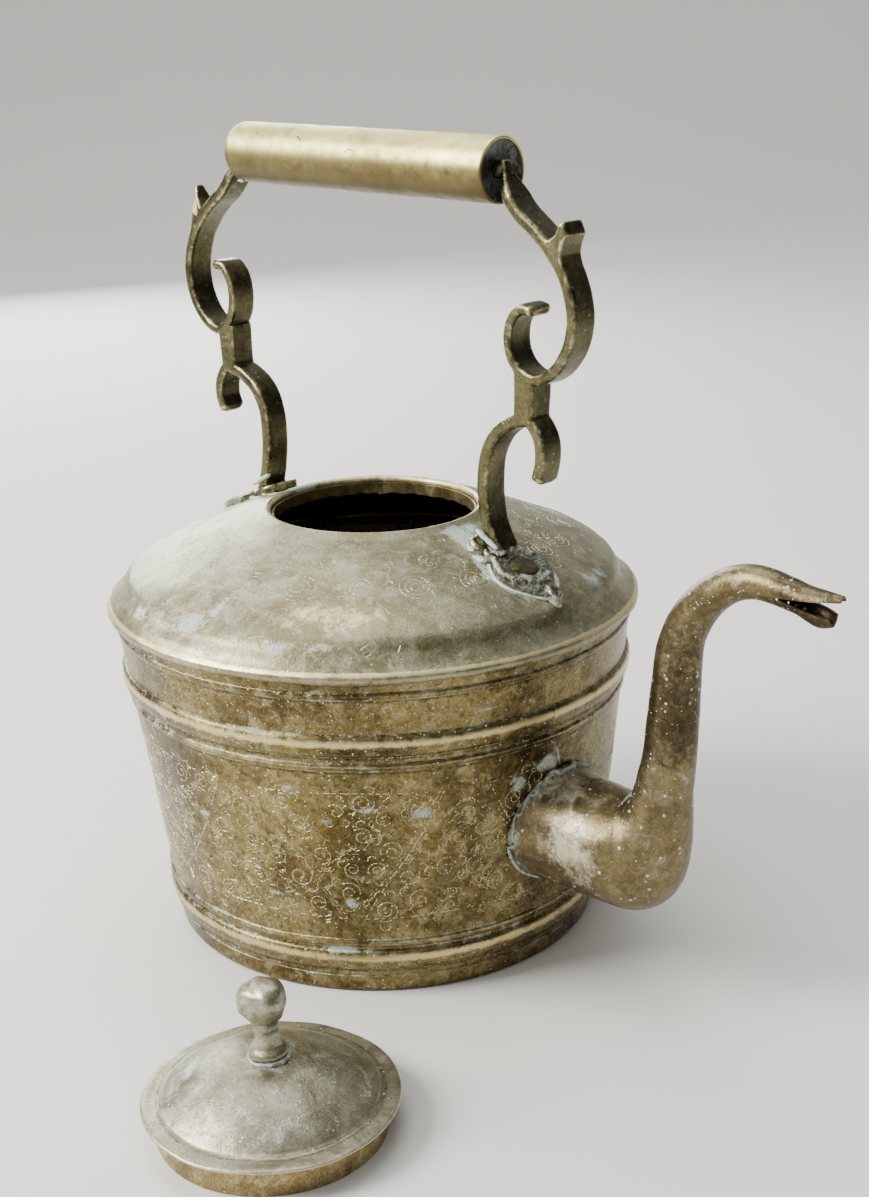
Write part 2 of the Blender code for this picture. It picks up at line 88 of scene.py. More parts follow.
SPUR = {
    "front": ((84.0, 279.8), (89.5, 277.2), (93.0, 276.6), (96.0, 278.6), (98.0, 282.8),
              (99.4, 282.6), (101.2, 278.4), (99.4, 275.2), (98.6, 271.6), (99.6, 267.6),
              (100.0, 264.0), (97.5, 266.2), (92.8, 272.0), (86.5, 277.2)),
    "rear": ((86.0, 279.6), (91.0, 276.8), (94.0, 277.6), (96.2, 280.4), (98.4, 285.6),
             (99.0, 285.4), (98.6, 280.0), (98.0, 275.2), (98.8, 270.4), (100.0, 265.0),
             (97.5, 266.2), (92.8, 272.0), (86.5, 277.2)),
}
SPUR_TIP = {"front": 0.92, "rear": 0.35}
NECK = ((81.4, 230.0), (80.6, 213.4))
HOOK = {"front": ((78.6, 213.4), (83.6, 212.0), (87.5, 206.4), (88.2, 199.0), (86.4, 191.8)),
        "rear": ((78.6, 213.4), (83.6, 212.0), (87.5, 206.4), (88.2, 200.0), (86.2, 194.6))}
LEG = {"front": ((81.6, 213.0), (75.0, 211.2), (67.0, 205.4), (62.3, 197.2), (60.8, 188.0),
                 (61.1, 178.5), (63.2, 169.5), (68.6, 160.2)),
       "rear": ((81.6, 213.0), (73.4, 210.8), (64.8, 205.0), (60.6, 196.8), (59.6, 188.0),
                (60.0, 179.5), (61.4, 171.5), (63.8, 163.4))}
LID_X, LID_Y, LID_R = 91.7, -143.7, 43.2
CREASE_R, CREASE_Z, CROWN_Z = 36.6, 12.6, 26.2
SKIRT_R, SKIRT_H = 38.85, 10.9
KNOB_R, KNOB_Z = 7.8, 19.9
KNOB_PLACE = (Matrix.Translation((LID_X, LID_Y, CROWN_Z))
              @ Matrix.Rotation(math.radians(3.5), 4, (0.69, -0.72, 0.0)))

# The upper wall and the shoulder were knocked a little to one side
LEAN = np.array((-0.94, -0.90))

# How sharp a cast edge is when its wear and painted highlight are full, and the height under which
# the arms are green
FULL_BEND = 0.035
FOOT_TOP = 163.0


# ------------------------------------------------------------- small tools

def ease(a, b, x):
    """0 at `a`, 1 at `b`, and smooth between them."""
    t = min(max((x - a) / (b - a), 0.0), 1.0)
    return t * t * (3.0 - 2.0 * t)


def lump(x, y, z, size, seed=0.0):
    """Smooth noise from -1 to 1 with features of about `size` mm."""
    return noise.noise(Vector((x / size + seed, y / size - seed, z / size + 0.37 * seed)))


def bump_at(value, middle, width):
    """A soft bell round `middle`."""
    return math.exp(-((value - middle) / width) ** 2)


def facing(turn, heading, width):
    """A soft bell round a heading; all three are in degrees."""
    return bump_at((turn - heading + 180.0) % 360.0 - 180.0, 0, width)


def patched(patches, turn, across):
    """The strongest of some patches, each (heading, place across, wide, tall, how strong)."""
    return max(much * facing(turn, heading, wide) * bump_at(across, place, tall)
               for heading, place, wide, tall, much in patches)


def smooth_path(points, steps, kind=Vector):
    """A Catmull-Rom curve through points, as Vectors or, of any length, as np.arrays."""
    knots = [kind(point) for point in points]
    knots = [2 * knots[0] - knots[1]] + knots + [2 * knots[-1] - knots[-2]]
    path = []
    for a, b, c, d in zip(knots, knots[1:], knots[2:], knots[3:]):
        for i in range(steps):
            t = i / steps
            path.append(0.5 * (2 * b + (c - a) * t + (2 * a - 5 * b + 4 * c - d) * t * t
                               + (3 * b - a - 3 * c + d) * t ** 3))
    return path + [knots[-2]]


def spaced(line, step):
    """Resample a polyline of (x, y) so that no piece is longer than `step`."""
    out = [line[0]]
    for (x0, y0), (x1, y1) in zip(line, line[1:]):
        count = max(1, math.ceil(math.hypot(x1 - x0, y1 - y0) / step))
        out += [(x0 + (x1 - x0) * i / count, y0 + (y1 - y0) * i / count)
                for i in range(1, count + 1)]
    return out


def offset_line(line, thickness):
    points = [Vector(point) for point in line]
    out = []
    for i, point in enumerate(points):
        along = points[min(i + 1, len(points) - 1)] - points[max(i - 1, 0)]
        along.normalize()
        out.append(tuple(point + thickness * Vector((-along.y, along.x))))
    return out


def linked(name, data):
    made = bpy.data.objects.new(name, data)
    bpy.context.scene.collection.objects.link(made)
    return made


def shell(name, verts, faces):
    """An object from points in metres, with every face looking outwards."""
    mesh = bpy.data.meshes.new(name)
    mesh.from_pydata(verts, [], faces)
    shape = bmesh.new()
    shape.from_mesh(mesh)
    bmesh.ops.recalc_face_normals(shape, faces=shape.faces)
    shape.to_mesh(mesh)
    shape.free()
    return linked(name, mesh)


def paint(mesh, masks):
    """Give each point its (verdigris, wear and painted highlight, grime and painted shade, 1) for
    the materials to read.
    """
    layer = mesh.color_attributes.new("mask", "FLOAT_COLOR", "POINT")
    layer.data.foreach_set("color", np.asarray(masks, dtype=np.float32).ravel())


def finish_skin(mesh, sharp):
    mesh.shade_smooth()
    mesh.set_sharp_from_angle(angle=math.radians(sharp))


def piece(name, verts, faces, material, body, replaced=(), masks=None, sharp=40):
    """Make one named piece from points in millimetres."""
    made = shell(name, [tuple(c * MM for c in v) for v in verts], faces)
    if masks is not None:
        paint(made.data, masks)
    finish_skin(made.data, sharp)
    made.data.materials.append(MATERIALS[material])
    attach(made, body)
    if replaced:
        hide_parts(*replaced)
    return made


def lathe(outline, segments, shape_point, mask_point, closed):
    """Revolve (radius, height) points. shape_point moves each one, mask_point tints it.

    Points on the axis become one vertex. Returns vertices, faces and masks."""
    verts, masks, rings = [], [], []
    for row, (radius, height) in enumerate(outline):
        count = 1 if radius < 1e-6 else segments
        ring = []
        for i in range(count):
            angle = TAU * i / segments
            ring.append(len(verts))
            verts.append(shape_point(row, angle, radius, height))
            masks.append(mask_point(row, angle, radius, height) if mask_point else (0, 0, 0, 1))
        rings.append(ring * segments if count == 1 else ring)
    faces = []
    pairs = zip(rings, rings[1:] + rings[:1]) if closed else zip(rings, rings[1:])
    for ring, following in pairs:
        for i in range(segments):
            j = (i + 1) % segments
            corners = list(dict.fromkeys((ring[i], ring[j], following[j], following[i])))
            if len(corners) > 2:
                faces.append(corners)
    return verts, faces, masks


def turned(name, outline, segments, shape_point, mask_point, material, body, replaced,
           closed=True, sharp=40):
    """Revolve an outline into one named piece."""
    verts, faces, masks = lathe(outline, segments, shape_point, mask_point, closed)
    piece(name, verts, faces, material, body, replaced, masks if mask_point else None, sharp)


def polar(angle, radius, height):
    return (radius * math.cos(angle), radius * math.sin(angle), height)


def tube_rings(rings, cap=True):
    """Skin rings of equal length; the ends are closed by one face each."""
    count = len(rings[0])
    verts = [tuple(point) for ring in rings for point in ring]
    faces = []
    for k in range(len(rings) - 1):
        a, b = k * count, (k + 1) * count
        for i in range(count):
            j = (i + 1) % count
            faces.append((a + i, a + j, b + j, b + i))
    if cap:
        faces.append(tuple(range(count)))
        faces.append(tuple(range((len(rings) - 1) * count, len(rings) * count)))
    return verts, faces


def merge(parts):
    verts, faces = [], []
    for part_verts, part_faces in parts:
        base = len(verts)
        verts += list(part_verts)
        faces += [tuple(base + i for i in face) for face in part_faces]
    return verts, faces


def bake(made):
    """Replace an object's mesh by what its modifiers make of it."""
    bpy.context.view_layer.update()
    graph = bpy.context.evaluated_depsgraph_get()
    mesh = bpy.data.meshes.new_from_object(made.evaluated_get(graph))
    made.modifiers.clear()
    made.data = mesh
    return made


def remesh(made, voxel, rounds):
    """Fuse overlapping members into one cast skin with soft edges."""
    step = made.modifiers.new("fuse", "REMESH")
    step.mode = "VOXEL"
    step.voxel_size = voxel * MM
    step.use_smooth_shade = True
    soften = made.modifiers.new("soften", "SMOOTH")
    soften.factor = 0.5
    soften.iterations = rounds
    bake(made)
    made.data.shade_smooth()
    return made


def edge_wear_and_highlight(made):
    """Paint wear and painted highlight where the skin turns outwards, and grime and painted shade
    where it turns inwards.
    """
    mesh = made.data
    count = len(mesh.vertices)
    points, normals = np.empty(count * 3), np.empty(count * 3)
    mesh.vertices.foreach_get("co", points)
    mesh.vertices.foreach_get("normal", normals)
    points, normals = points.reshape(-1, 3), normals.reshape(-1, 3)
    ends = np.empty(len(mesh.edges) * 2, dtype=np.int64)
    mesh.edges.foreach_get("vertices", ends)
    first, second = ends[0::2], ends[1::2]
    gap = points[second] - points[first]
    degree = np.bincount(ends, minlength=count)
    bend = (np.bincount(first, -(gap * normals[first]).sum(1), count)
            + np.bincount(second, (gap * normals[second]).sum(1), count)) / degree
    for _ in range(3):
        around = np.bincount(first, bend[second], count) + np.bincount(second, bend[first], count)
        bend = 0.4 * bend + 0.6 * around / degree
    masks = np.zeros((count, 4), dtype=np.float32)
    masks[:, 1] = np.clip(bend / (FULL_BEND * MM), 0.0, 1.1)
    masks[:, 2] = np.clip(-bend / (FULL_BEND * MM), 0.0, 1.1)
    masks[:, 0] = 0.62 * (points[:, 2] < FOOT_TOP * MM)
    masks[:, 3] = 1.0
    paint(mesh, masks)


# ------------------------------------------------------------- materials

class Graph:
    """Builds a Principled material out of short calls."""

    def __init__(self, name):
        self.material = bpy.data.materials.new(name)
        self.material.use_nodes = True
        self.tree = self.material.node_tree
        self.shader = self.tree.nodes["Principled BSDF"]
        self.where = self.add("ShaderNodeTexCoord").outputs["Object"]

    def add(self, kind, **settings):
        node = self.tree.nodes.new(kind)
        for key, value in settings.items():
            setattr(node, key, value)
        return node

    def put(self, socket, value):
        if isinstance(value, bpy.types.NodeSocket):
            self.tree.links.new(value, socket)
        elif isinstance(value, tuple) and len(value) == 3 and socket.type == "RGBA":
            socket.default_value = (*value, 1.0)
        else:
            socket.default_value = value

    def stretched(self, scale):
        node = self.add("ShaderNodeMapping")
        self.put(node.inputs["Vector"], self.where)
        node.inputs["Scale"].default_value = scale
        return node.outputs["Vector"]

    def noise(self, scale, detail=4.0, rough=0.55, where=None, warp=0.0):
        node = self.add("ShaderNodeTexNoise")
        self.put(node.inputs["Vector"], where or self.where)
        for key, value in (("Scale", scale), ("Detail", detail), ("Roughness", rough),
                           ("Distortion", warp)):
            node.inputs[key].default_value = value
        return node.outputs["Fac"]

    def cells(self, scale):
        node = self.add("ShaderNodeTexVoronoi")
        self.put(node.inputs["Vector"], self.where)
        node.inputs["Scale"].default_value = scale
        split = self.add("ShaderNodeSeparateColor")
        self.put(split.inputs[0], node.outputs["Color"])
        return node.outputs["Distance"], split.outputs[0]

    def span(self, value, low, high, to_low=0.0, to_high=1.0):
        node = self.add("ShaderNodeMapRange", interpolation_type="SMOOTHSTEP")
        self.put(node.inputs[0], value)
        for index, number in enumerate((low, high, to_low, to_high), 1):
            node.inputs[index].default_value = number
        return node.outputs[0]

    def math(self, operation, a, b=0.0):
        node = self.add("ShaderNodeMath", operation=operation)
        self.put(node.inputs[0], a)
        self.put(node.inputs[1], b)
        return node.outputs[0]

    def mix(self, amount, a, b):
        node = self.add("ShaderNodeMix", data_type="RGBA")
        self.put(node.inputs[0], amount)
        self.put(node.inputs[6], a)
        self.put(node.inputs[7], b)
        return node.outputs[2]

    def scaled(self, colour, amount):
        node = self.add("ShaderNodeVectorMath", operation="SCALE")
        self.put(node.inputs[0], colour)
        self.put(node.inputs["Scale"], amount)
        return node.outputs[0]

    def masks(self):
        node = self.add("ShaderNodeAttribute", attribute_name="mask")
        split = self.add("ShaderNodeSeparateColor")
        self.put(split.inputs[0], node.outputs["Color"])
        return split.outputs[0], split.outputs[1], split.outputs[2]

    def bump(self, height, strength, distance, before=None):
        node = self.add("ShaderNodeBump")
        node.inputs["Strength"].default_value = strength
        node.inputs["Distance"].default_value = distance
        self.put(node.inputs["Height"], height)
        if before:
            self.put(node.inputs["Normal"], before)
        return node.outputs["Normal"]


VERDIGRIS = (0.30, 0.40, 0.32)
CRUST = (0.70, 0.76, 0.67)
FILM = (0.30, 0.33, 0.25)


def patina(name, dark, middle, light, rough, metallic, worn_and_highlight_colour, masked=True, specks=0.5,
           speck_scale=330.0, mottle=140.0, green=0.10, film=0.45, pitted=0.85, drift=0.85,
           sparkle=0.34):
    """Old brass: drifting tone, pits, grey-green film, white specks, and painted masks."""
    g = Graph(name)
    broad = g.noise(26.0, 5.0, 0.6, warp=0.6)
    small = g.noise(mottle, 6.0, 0.68, warp=0.5)
    pits = g.noise(430.0, 5.0, 0.72, warp=0.6)
    fine = g.noise(1500.0, 3.0, 0.6)
    deep = tuple(c * 0.30 for c in dark)
    colour = g.mix(g.span(broad, 0.34, 0.60), dark, middle)
    colour = g.mix(g.span(small, 0.48, 0.66, 0.0, drift), colour, light)
    colour = g.mix(g.span(small, 0.46, 0.32, 0.0, drift), colour, dark)
    veil = g.span(pits, 0.50, 0.40, 0.0, film)
    colour = g.mix(g.math("MULTIPLY", veil, g.span(broad, 0.35, 0.62, 0.35, 1.0)), colour, FILM)
    colour = g.mix(g.span(pits, 0.52, 0.64, 0.0, pitted), colour, deep)
    colour = g.scaled(colour, g.span(fine, 0.30, 0.70, 1.0 - sparkle, 1.0 + sparkle))
    ragged = g.math("MULTIPLY", g.math("SUBTRACT", g.math("ADD", small, pits), 1.0), 1.25)
    stain = g.span(g.noise(60.0, 6.0, 0.7, warp=1.2), 0.60, 0.74, 0.0, green)
    if masked:
        verdigris, wear_and_highlight, grime_and_shade = g.masks()
        # The wear-and-highlight mask lightens towards the worn colour, for wear and painted
        # highlights; the grime-and-shade mask darkens towards the deep colour, for grime and
        # painted shade.
        edge = g.span(g.math("ADD", wear_and_highlight, ragged), 0.35, 0.95)
        colour = g.mix(edge, colour, worn_and_highlight_colour)
        colour = g.mix(g.span(g.math("ADD", grime_and_shade, ragged), 0.25, 1.0, 0.0, 0.85), colour, deep)
        crust = g.span(g.math("ADD", verdigris, ragged), 0.42, 1.0, 0.0, 0.85)
        stain = g.math("MAXIMUM", crust, stain)
    colour = g.mix(stain, colour, g.mix(g.span(fine, 0.35, 0.65), VERDIGRIS, CRUST))
    distance, pick = g.cells(speck_scale)
    dot = g.math("MULTIPLY", g.span(distance, 0.24, 0.10), g.span(pick, 0.72, 0.78))
    dot = g.math("MULTIPLY", dot, specks)
    colour = g.mix(dot, colour, (0.66, 0.66, 0.55))
    g.put(g.shader.inputs["Base Color"], colour)
    dull = g.math("MAXIMUM", stain, dot)
    dull = g.math("MAXIMUM", dull, g.math("MULTIPLY", veil, 0.6))
    g.put(g.shader.inputs["Metallic"], g.span(dull, 0.0, 1.0, metallic, 0.05))
    finish = g.span(small, 0.3, 0.7, rough[0], rough[1])
    g.put(g.shader.inputs["Roughness"], g.math("MAXIMUM", finish, g.math("MULTIPLY", dull, 0.8)))
    normal = g.bump(small, 0.35, 0.0007)
    normal = g.bump(pits, 0.30, 0.0004, normal)
    normal = g.bump(fine, 0.16, 0.0003, normal)
    g.put(g.shader.inputs["Normal"], g.bump(dull, 0.5, 0.0003, normal))
    return g.material


def polished(name, base, dark, shade):
    """The handled grip: pale, rubbed brass with small scratches along and across."""
    g = Graph(name)
    broad = g.noise(30.0, 5.0, 0.6, warp=0.5)
    cloud = g.noise(170.0, 5.0, 0.6, warp=0.3)
    long_marks = g.noise(1.0, 4.0, 0.7, where=g.stretched((90.0, 1900.0, 1900.0)))
    hairs = g.noise(1.0, 3.0, 0.7, where=g.stretched((1600.0, 260.0, 420.0)))
    verdigris, wear_and_highlight, grime_and_shade = g.masks()
    colour = g.mix(g.span(broad, 0.40, 0.70, 0.0, 0.5), base, shade)
    colour = g.mix(g.span(cloud, 0.58, 0.76, 0.0, 0.55), colour, dark)
    colour = g.mix(g.span(long_marks, 0.62, 0.74, 0.0, 0.45), colour, dark)
    colour = g.mix(g.span(hairs, 0.66, 0.78, 0.0, 0.5), colour, dark)
    ragged = g.math("MULTIPLY", g.math("SUBTRACT", cloud, 0.5), 1.5)
    faint = g.math("MULTIPLY", ragged, 0.35)
    # Painted shade: the grime-and-shade mask, mostly the grip's underside, darkens towards the
    # shade colour.
    colour = g.mix(g.span(g.math("ADD", grime_and_shade, faint), 0.0, 1.15, 0.0, 0.95), colour, shade)
    colour = g.mix(g.span(g.math("ADD", verdigris, ragged), 0.5, 0.9), colour, VERDIGRIS)
    g.put(g.shader.inputs["Base Color"], colour)
    g.shader.inputs["Metallic"].default_value = 0.88
    g.put(g.shader.inputs["Roughness"], g.span(cloud, 0.3, 0.75, 0.34, 0.52))
    normal = g.bump(hairs, 0.12, 0.0002)
    g.put(g.shader.inputs["Normal"], g.bump(long_marks, 0.12, 0.0002, normal))
    return g.material


def crusty(name, pale, grey, metallic, rough):
    """Solder, and the pale crust left where it was washed with flux."""
    g = Graph(name)
    cloud = g.noise(420.0, 6.0, 0.65, warp=0.6)
    fine = g.noise(1800.0, 3.0, 0.6)
    colour = g.mix(g.span(cloud, 0.36, 0.60), grey, pale)
    colour = g.mix(g.span(cloud, 0.58, 0.70, 0.0, 0.7), colour, VERDIGRIS)
    g.put(g.shader.inputs["Base Color"], g.scaled(colour, g.span(fine, 0.2, 0.8, 0.8, 1.2)))
    g.shader.inputs["Metallic"].default_value = metallic
    g.put(g.shader.inputs["Roughness"], g.span(cloud, 0.3, 0.7, rough, rough + 0.2))
    g.put(g.shader.inputs["Normal"], g.bump(cloud, 0.6, 0.0005))
    return g.material


def plain(name, colour, variation, metallic, rough):
    """Small bright marks, still with a little drift in tone."""
    g = Graph(name)
    drift = g.noise(300.0, 4.0, 0.6)
    g.put(g.shader.inputs["Base Color"], g.mix(g.span(drift, 0.35, 0.65), colour, variation))
    g.shader.inputs["Metallic"].default_value = metallic
    g.put(g.shader.inputs["Roughness"], g.span(drift, 0.3, 0.7, rough, rough + 0.15))
    return g.material


MATERIALS = {
    "wall": patina("wall_patina", (0.072, 0.047, 0.014), (0.190, 0.140, 0.046),
                   (0.370, 0.305, 0.135), (0.22, 0.38), 0.88, (0.60, 0.50, 0.25),
                   specks=0.80, speck_scale=460.0, green=0.34, pitted=0.55, drift=0.62,
                   film=0.28, sparkle=0.30),
    "dome": patina("dome_patina", (0.190, 0.165, 0.080), (0.345, 0.328, 0.200),
                   (0.570, 0.560, 0.400), (0.28, 0.44), 0.82, (0.80, 0.68, 0.36),
                   specks=0.50, speck_scale=460.0, green=0.40, film=0.34, pitted=0.16,
                   drift=0.42, sparkle=0.24),
    "spout": patina("spout_patina", (0.080, 0.056, 0.024), (0.190, 0.145, 0.066),
                    (0.340, 0.285, 0.165), (0.28, 0.44), 0.86, (0.64, 0.58, 0.42),
                    specks=0.90, speck_scale=300.0, green=0.45, film=0.18, pitted=0.22,
                    drift=0.42, sparkle=0.22),
    "arm": patina("arm_patina", (0.044, 0.038, 0.016), (0.105, 0.091, 0.040),
                  (0.190, 0.170, 0.082), (0.24, 0.38), 0.92, (0.50, 0.44, 0.25),
                  specks=0.35, speck_scale=420.0, green=0.25, mottle=220.0, film=0.12,
                  pitted=0.18, drift=0.36, sparkle=0.18),
    "lid": patina("lid_patina", (0.225, 0.205, 0.135), (0.375, 0.355, 0.250),
                  (0.570, 0.560, 0.440), (0.30, 0.46), 0.82, (0.62, 0.55, 0.36),
                  specks=0.50, speck_scale=420.0, green=0.60, film=0.22, pitted=0.20,
                  drift=0.45, sparkle=0.24),
    "bright": patina("bright_brass", (0.200, 0.145, 0.060), (0.400, 0.305, 0.135),
                     (0.600, 0.500, 0.270), (0.26, 0.40), 0.9, (0.62, 0.5, 0.26),
                     masked=False, specks=0.25, film=0.15, pitted=0.3, drift=0.6),
    "inside": patina("inside_tarnish", (0.030, 0.020, 0.012), (0.060, 0.040, 0.022),
                     (0.100, 0.070, 0.040), (0.45, 0.65), 0.7, (0.1, 0.1, 0.1),
                     masked=False, specks=0.2, film=0.1),
    # Front grip cap: dark patina, made near-black to paint in its dark reflection as well.
    "dark_patina_and_reflection": patina("cap_patina_and_reflection", (0.026, 0.027, 0.026), (0.060, 0.062, 0.058),
                    (0.170, 0.175, 0.160), (0.26, 0.42), 0.8, (0.2, 0.2, 0.15),
                    masked=False, specks=0.5, film=0.2),
    # The grip's third colour is the painted shade for its underside, also mixed in as a broad
    # drift in tone.
    "grip": polished("grip_brass", (0.86, 0.77, 0.30), (0.27, 0.20, 0.07),
                     (0.080, 0.056, 0.018)),
    "solder": crusty("solder", (0.50, 0.55, 0.48), (0.17, 0.18, 0.14), 0.30, 0.45),
    "crust": crusty("crust", (0.74, 0.79, 0.71), (0.40, 0.45, 0.38), 0.10, 0.50),
    "gold": plain("chased_gold", (0.92, 0.84, 0.48), (0.72, 0.60, 0.30), 0.4, 0.30),
    "pale": plain("chased_pale", (0.72, 0.72, 0.58), (0.50, 0.50, 0.38), 0.3, 0.38),
    "mark": plain("dark_mark", (0.045, 0.032, 0.016), (0.09, 0.065, 0.03), 0.4, 0.5),
}


# ------------------------------------------------------------- body

def wall_radius(height):
    return 85.4 + 0.127 * height + math.sin(math.pi * height / WALL_TOP)


def bead_stand(height):
    for middle, half, proud in BEADS:
        t = (height - middle) / half
        if abs(t) < 1.0:
            return proud * math.sqrt(1.0 - t * t)
    return 0.0


def leaned(angle, radius, height, amount):
    x, y, _ = polar(angle, radius, height)
    return (x + LEAN[0] * amount, y + LEAN[1] * amount, height)


def wall_lean(height):
    return ease(60.0, 128.0, height)


def wall_surface(angle, height, lift=0.0):
    """A point on the wall's outside."""
    radius = wall_radius(height) + bead_stand(height)
    x, y, _ = polar(angle, radius, height)
    rough = 0.35 * lump(x, y, height, 34.0, 3.0) + 0.10 * lump(x, y, height, 8.0, 5.0)
    return Vector(leaned(angle, radius + (rough + lift), height, wall_lean(height)))


def make_wall():
    edges = [7.4, 8.7]
    for middle, half, _ in BEADS:
        edges += [middle - half - 0.02, middle - half * 0.93, middle, middle + half * 0.93,
                  middle + half + 0.02]
    edges += list(np.arange(9.6, WALL_TOP, 0.95)) + [WALL_TOP]
    heights = sorted(round(float(h), 3) for h in edges)
    outline = [(84.2, 2.0), (84.9, 4.5)]
    hidden_rows = len(outline)
    outline += [(wall_radius(h), h) for h in heights]
    outline += [(FLANGE[0] - 0.3, FLANGE[1] - SHEET), FLANGE, (wall_radius(WALL_TOP), 131.2)]
    top = len(outline)
    outline += [(wall_radius(h) - SHEET, h) for h in (129.0, 104.0, 80.0, 56.0, 32.0, 12.0)]
    outline += [(82.2, 3.6)]

    def shape(row, angle, radius, height):
        if hidden_rows <= row < hidden_rows + len(heights):
            return wall_surface(angle, height)
        return leaned(angle, radius, height, wall_lean(height))

    def mask(row, angle, radius, height):
        if row >= top:
            return (0, 0, 1.6, 1)
        x, y, _ = polar(angle, wall_radius(height), height)
        turn = math.degrees(angle)
        verdigris = wear_and_highlight = grime_and_shade = 0.0
        for middle, half, proud in BEADS:
            for edge in (middle - half, middle + half):
                verdigris = max(verdigris, 0.66 * bump_at(height, edge, 0.42))
            # Painted highlight along the upper side of each bead, stronger on the proudest, and
            # painted shade just under each bead.
            wear_and_highlight = max(wear_and_highlight, min(1.0, 0.38 * proud + 0.25) * bump_at(height, middle + half * 0.35,
                                                                     half * 0.40))
            grime_and_shade = max(grime_and_shade, 0.75 * bump_at(height, middle - half - 0.8, 0.8))
        verdigris = max(verdigris, 0.66 * bump_at(height, 8.0, 0.6))
        verdigris = max(verdigris, patched(WALL_PATCHES, turn, height),
                        0.34 * ease(106.0, 114.0, height) * facing(turn, -80.0, 45.0),
                        0.30 * facing(turn, -100.0, 18.0))
        # Painted shadow under the flange, darkening the top of the wall.
        grime_and_shade = max(grime_and_shade, 0.45 * ease(127.0, 131.0, height))
        wear_and_highlight = max(wear_and_highlight, 0.20 * ease(30.0, 38.0, height) * ease(90.0, 82.0, height))
        return (verdigris + 0.15 * lump(x, y, height, 20.0, 9.0), wear_and_highlight, grime_and_shade, 1.0)

    turned("wall_skin", outline, 384, shape, mask, "wall", KETTLE, ("body_wall",),
           sharp=50)


WALL_PATCHES = (
    (-5.0, 87.0, 5.0, 4.5, 1.1), (-13.0, 82.0, 3.0, 5.0, 0.9),
    (-47.8, 80.0, 3.4, 2.6, 0.95), (-35.9, 77.8, 4.2, 2.8, 0.95), (-56.0, 75.0, 2.6, 2.0, 0.8),
    (-55.5, 19.2, 6.5, 1.7, 1.2), (-70.0, 41.3, 3.4, 1.2, 0.9), (-52.0, 40.0, 2.0, 2.6, 0.95),
    (-88.0, 68.0, 3.0, 3.0, 0.8), (-64.0, 88.0, 2.0, 1.4, 0.8), (-20.0, 115.9, 4.5, 0.8, 0.8),
    (-100.0, 100.0, 5.0, 5.0, 0.75), (40.0, 60.0, 6.0, 9.0, 0.55), (120.0, 84.0, 8.0, 9.0, 0.55),
    (170.0, 30.0, 7.0, 9.0, 0.6), (-150.0, 70.0, 7.0, 12.0, 0.55), (75.0, 118.0, 7.0, 5.0, 0.6),
)


def make_pan():
    def pan_radius(height):
        return PAN_R + PAN_FLARE * height / PAN_H

    outline = [(0.0, 0.0)] + [(r, 0.0) for r in (20.0, 40.0, 60.0, 76.0, PAN_R - 1.4)]
    outline += [(PAN_R - 0.9, 0.1), (PAN_R - 0.3, 0.5), (pan_radius(1.4), 1.4)]
    outline += [(pan_radius(h), h) for h in (2.6, 3.8, 5.0, 6.2, 6.8)]
    outline += [(pan_radius(PAN_H) - 0.35, PAN_H), (pan_radius(PAN_H) - 0.9, PAN_H),
                (pan_radius(PAN_H) - SHEET, PAN_H - 0.4), (pan_radius(2.0) - SHEET, 2.0),
                (PAN_R - 2.0 * SHEET, SHEET), (40.0, SHEET), (0.0, SHEET)]

    def shape(row, angle, radius, height):
        x, y, z = polar(angle, radius, height)
        if radius < 80.0:
            return (x, y, z)
        high = ease(1.0, 6.5, height)
        radius += 0.22 * lump(x, y, z, 30.0, 2.0) * high
        z += (0.40 * lump(x, y, 0.0, 22.0, 7.0) + 0.14 * lump(x, y, 0.0, 5.0, 4.0)) * high
        return polar(angle, radius, z)

    def mask(row, angle, radius, height):
        x, y, z = polar(angle, radius, height)
        if radius < 80.0:
            return (0.2 + 0.3 * lump(x, y, z, 18.0), 0.0, 0.3, 1.0)
        rim = bump_at(height, PAN_H, 0.9)
        return (0.66 * rim, 0.40 * bump_at(height, 5.6, 1.2), 0.60 * bump_at(height, 0.4, 1.6), 1)

    turned("pan_skin", outline, 320, shape, mask, "wall", KETTLE, ("base_pan",),
           closed=False)


def dome_outline(step_line):
    lip = [(SHOULDER_R - 0.8, LIP_Z), (SHOULDER_R - 0.1, LIP_Z + 0.5),
           (SHOULDER_R + 0.15, LIP_Z + 1.4), (SHOULDER_R + 0.1, SHOULDER_Z - 0.9),
           (SHOULDER_R - 0.35, SHOULDER_Z), (SHOULDER_R - 1.3, SHOULDER_Z + 0.6)]
    curve = [tuple(p) for p in smooth_path([lip[-1], *step_line], 9)][1:]
    middle_r = MOUTH_R + ROLL_R
    roll = [(middle_r + ROLL_R * math.cos(math.radians(t)),
             ROLL_Z + ROLL_R * math.sin(math.radians(t))) for t in range(60, 211, 15)]
    return lip + curve + roll + [(MOUTH_R + 0.5, 163.6), (MOUTH_R + 0.1, 162.4)]


CRISP = dome_outline(DOME_CRISP)
SOFT = dome_outline(DOME_SOFT)
UNDER = offset_line(CRISP, SHEET)


def crushed(turn):
    """How far the step has been knocked soft, round the kettle."""
    return min(1.0, facing(turn, -82.0, 36.0)
               + 0.5 * facing(turn, 95.0, 25.0))


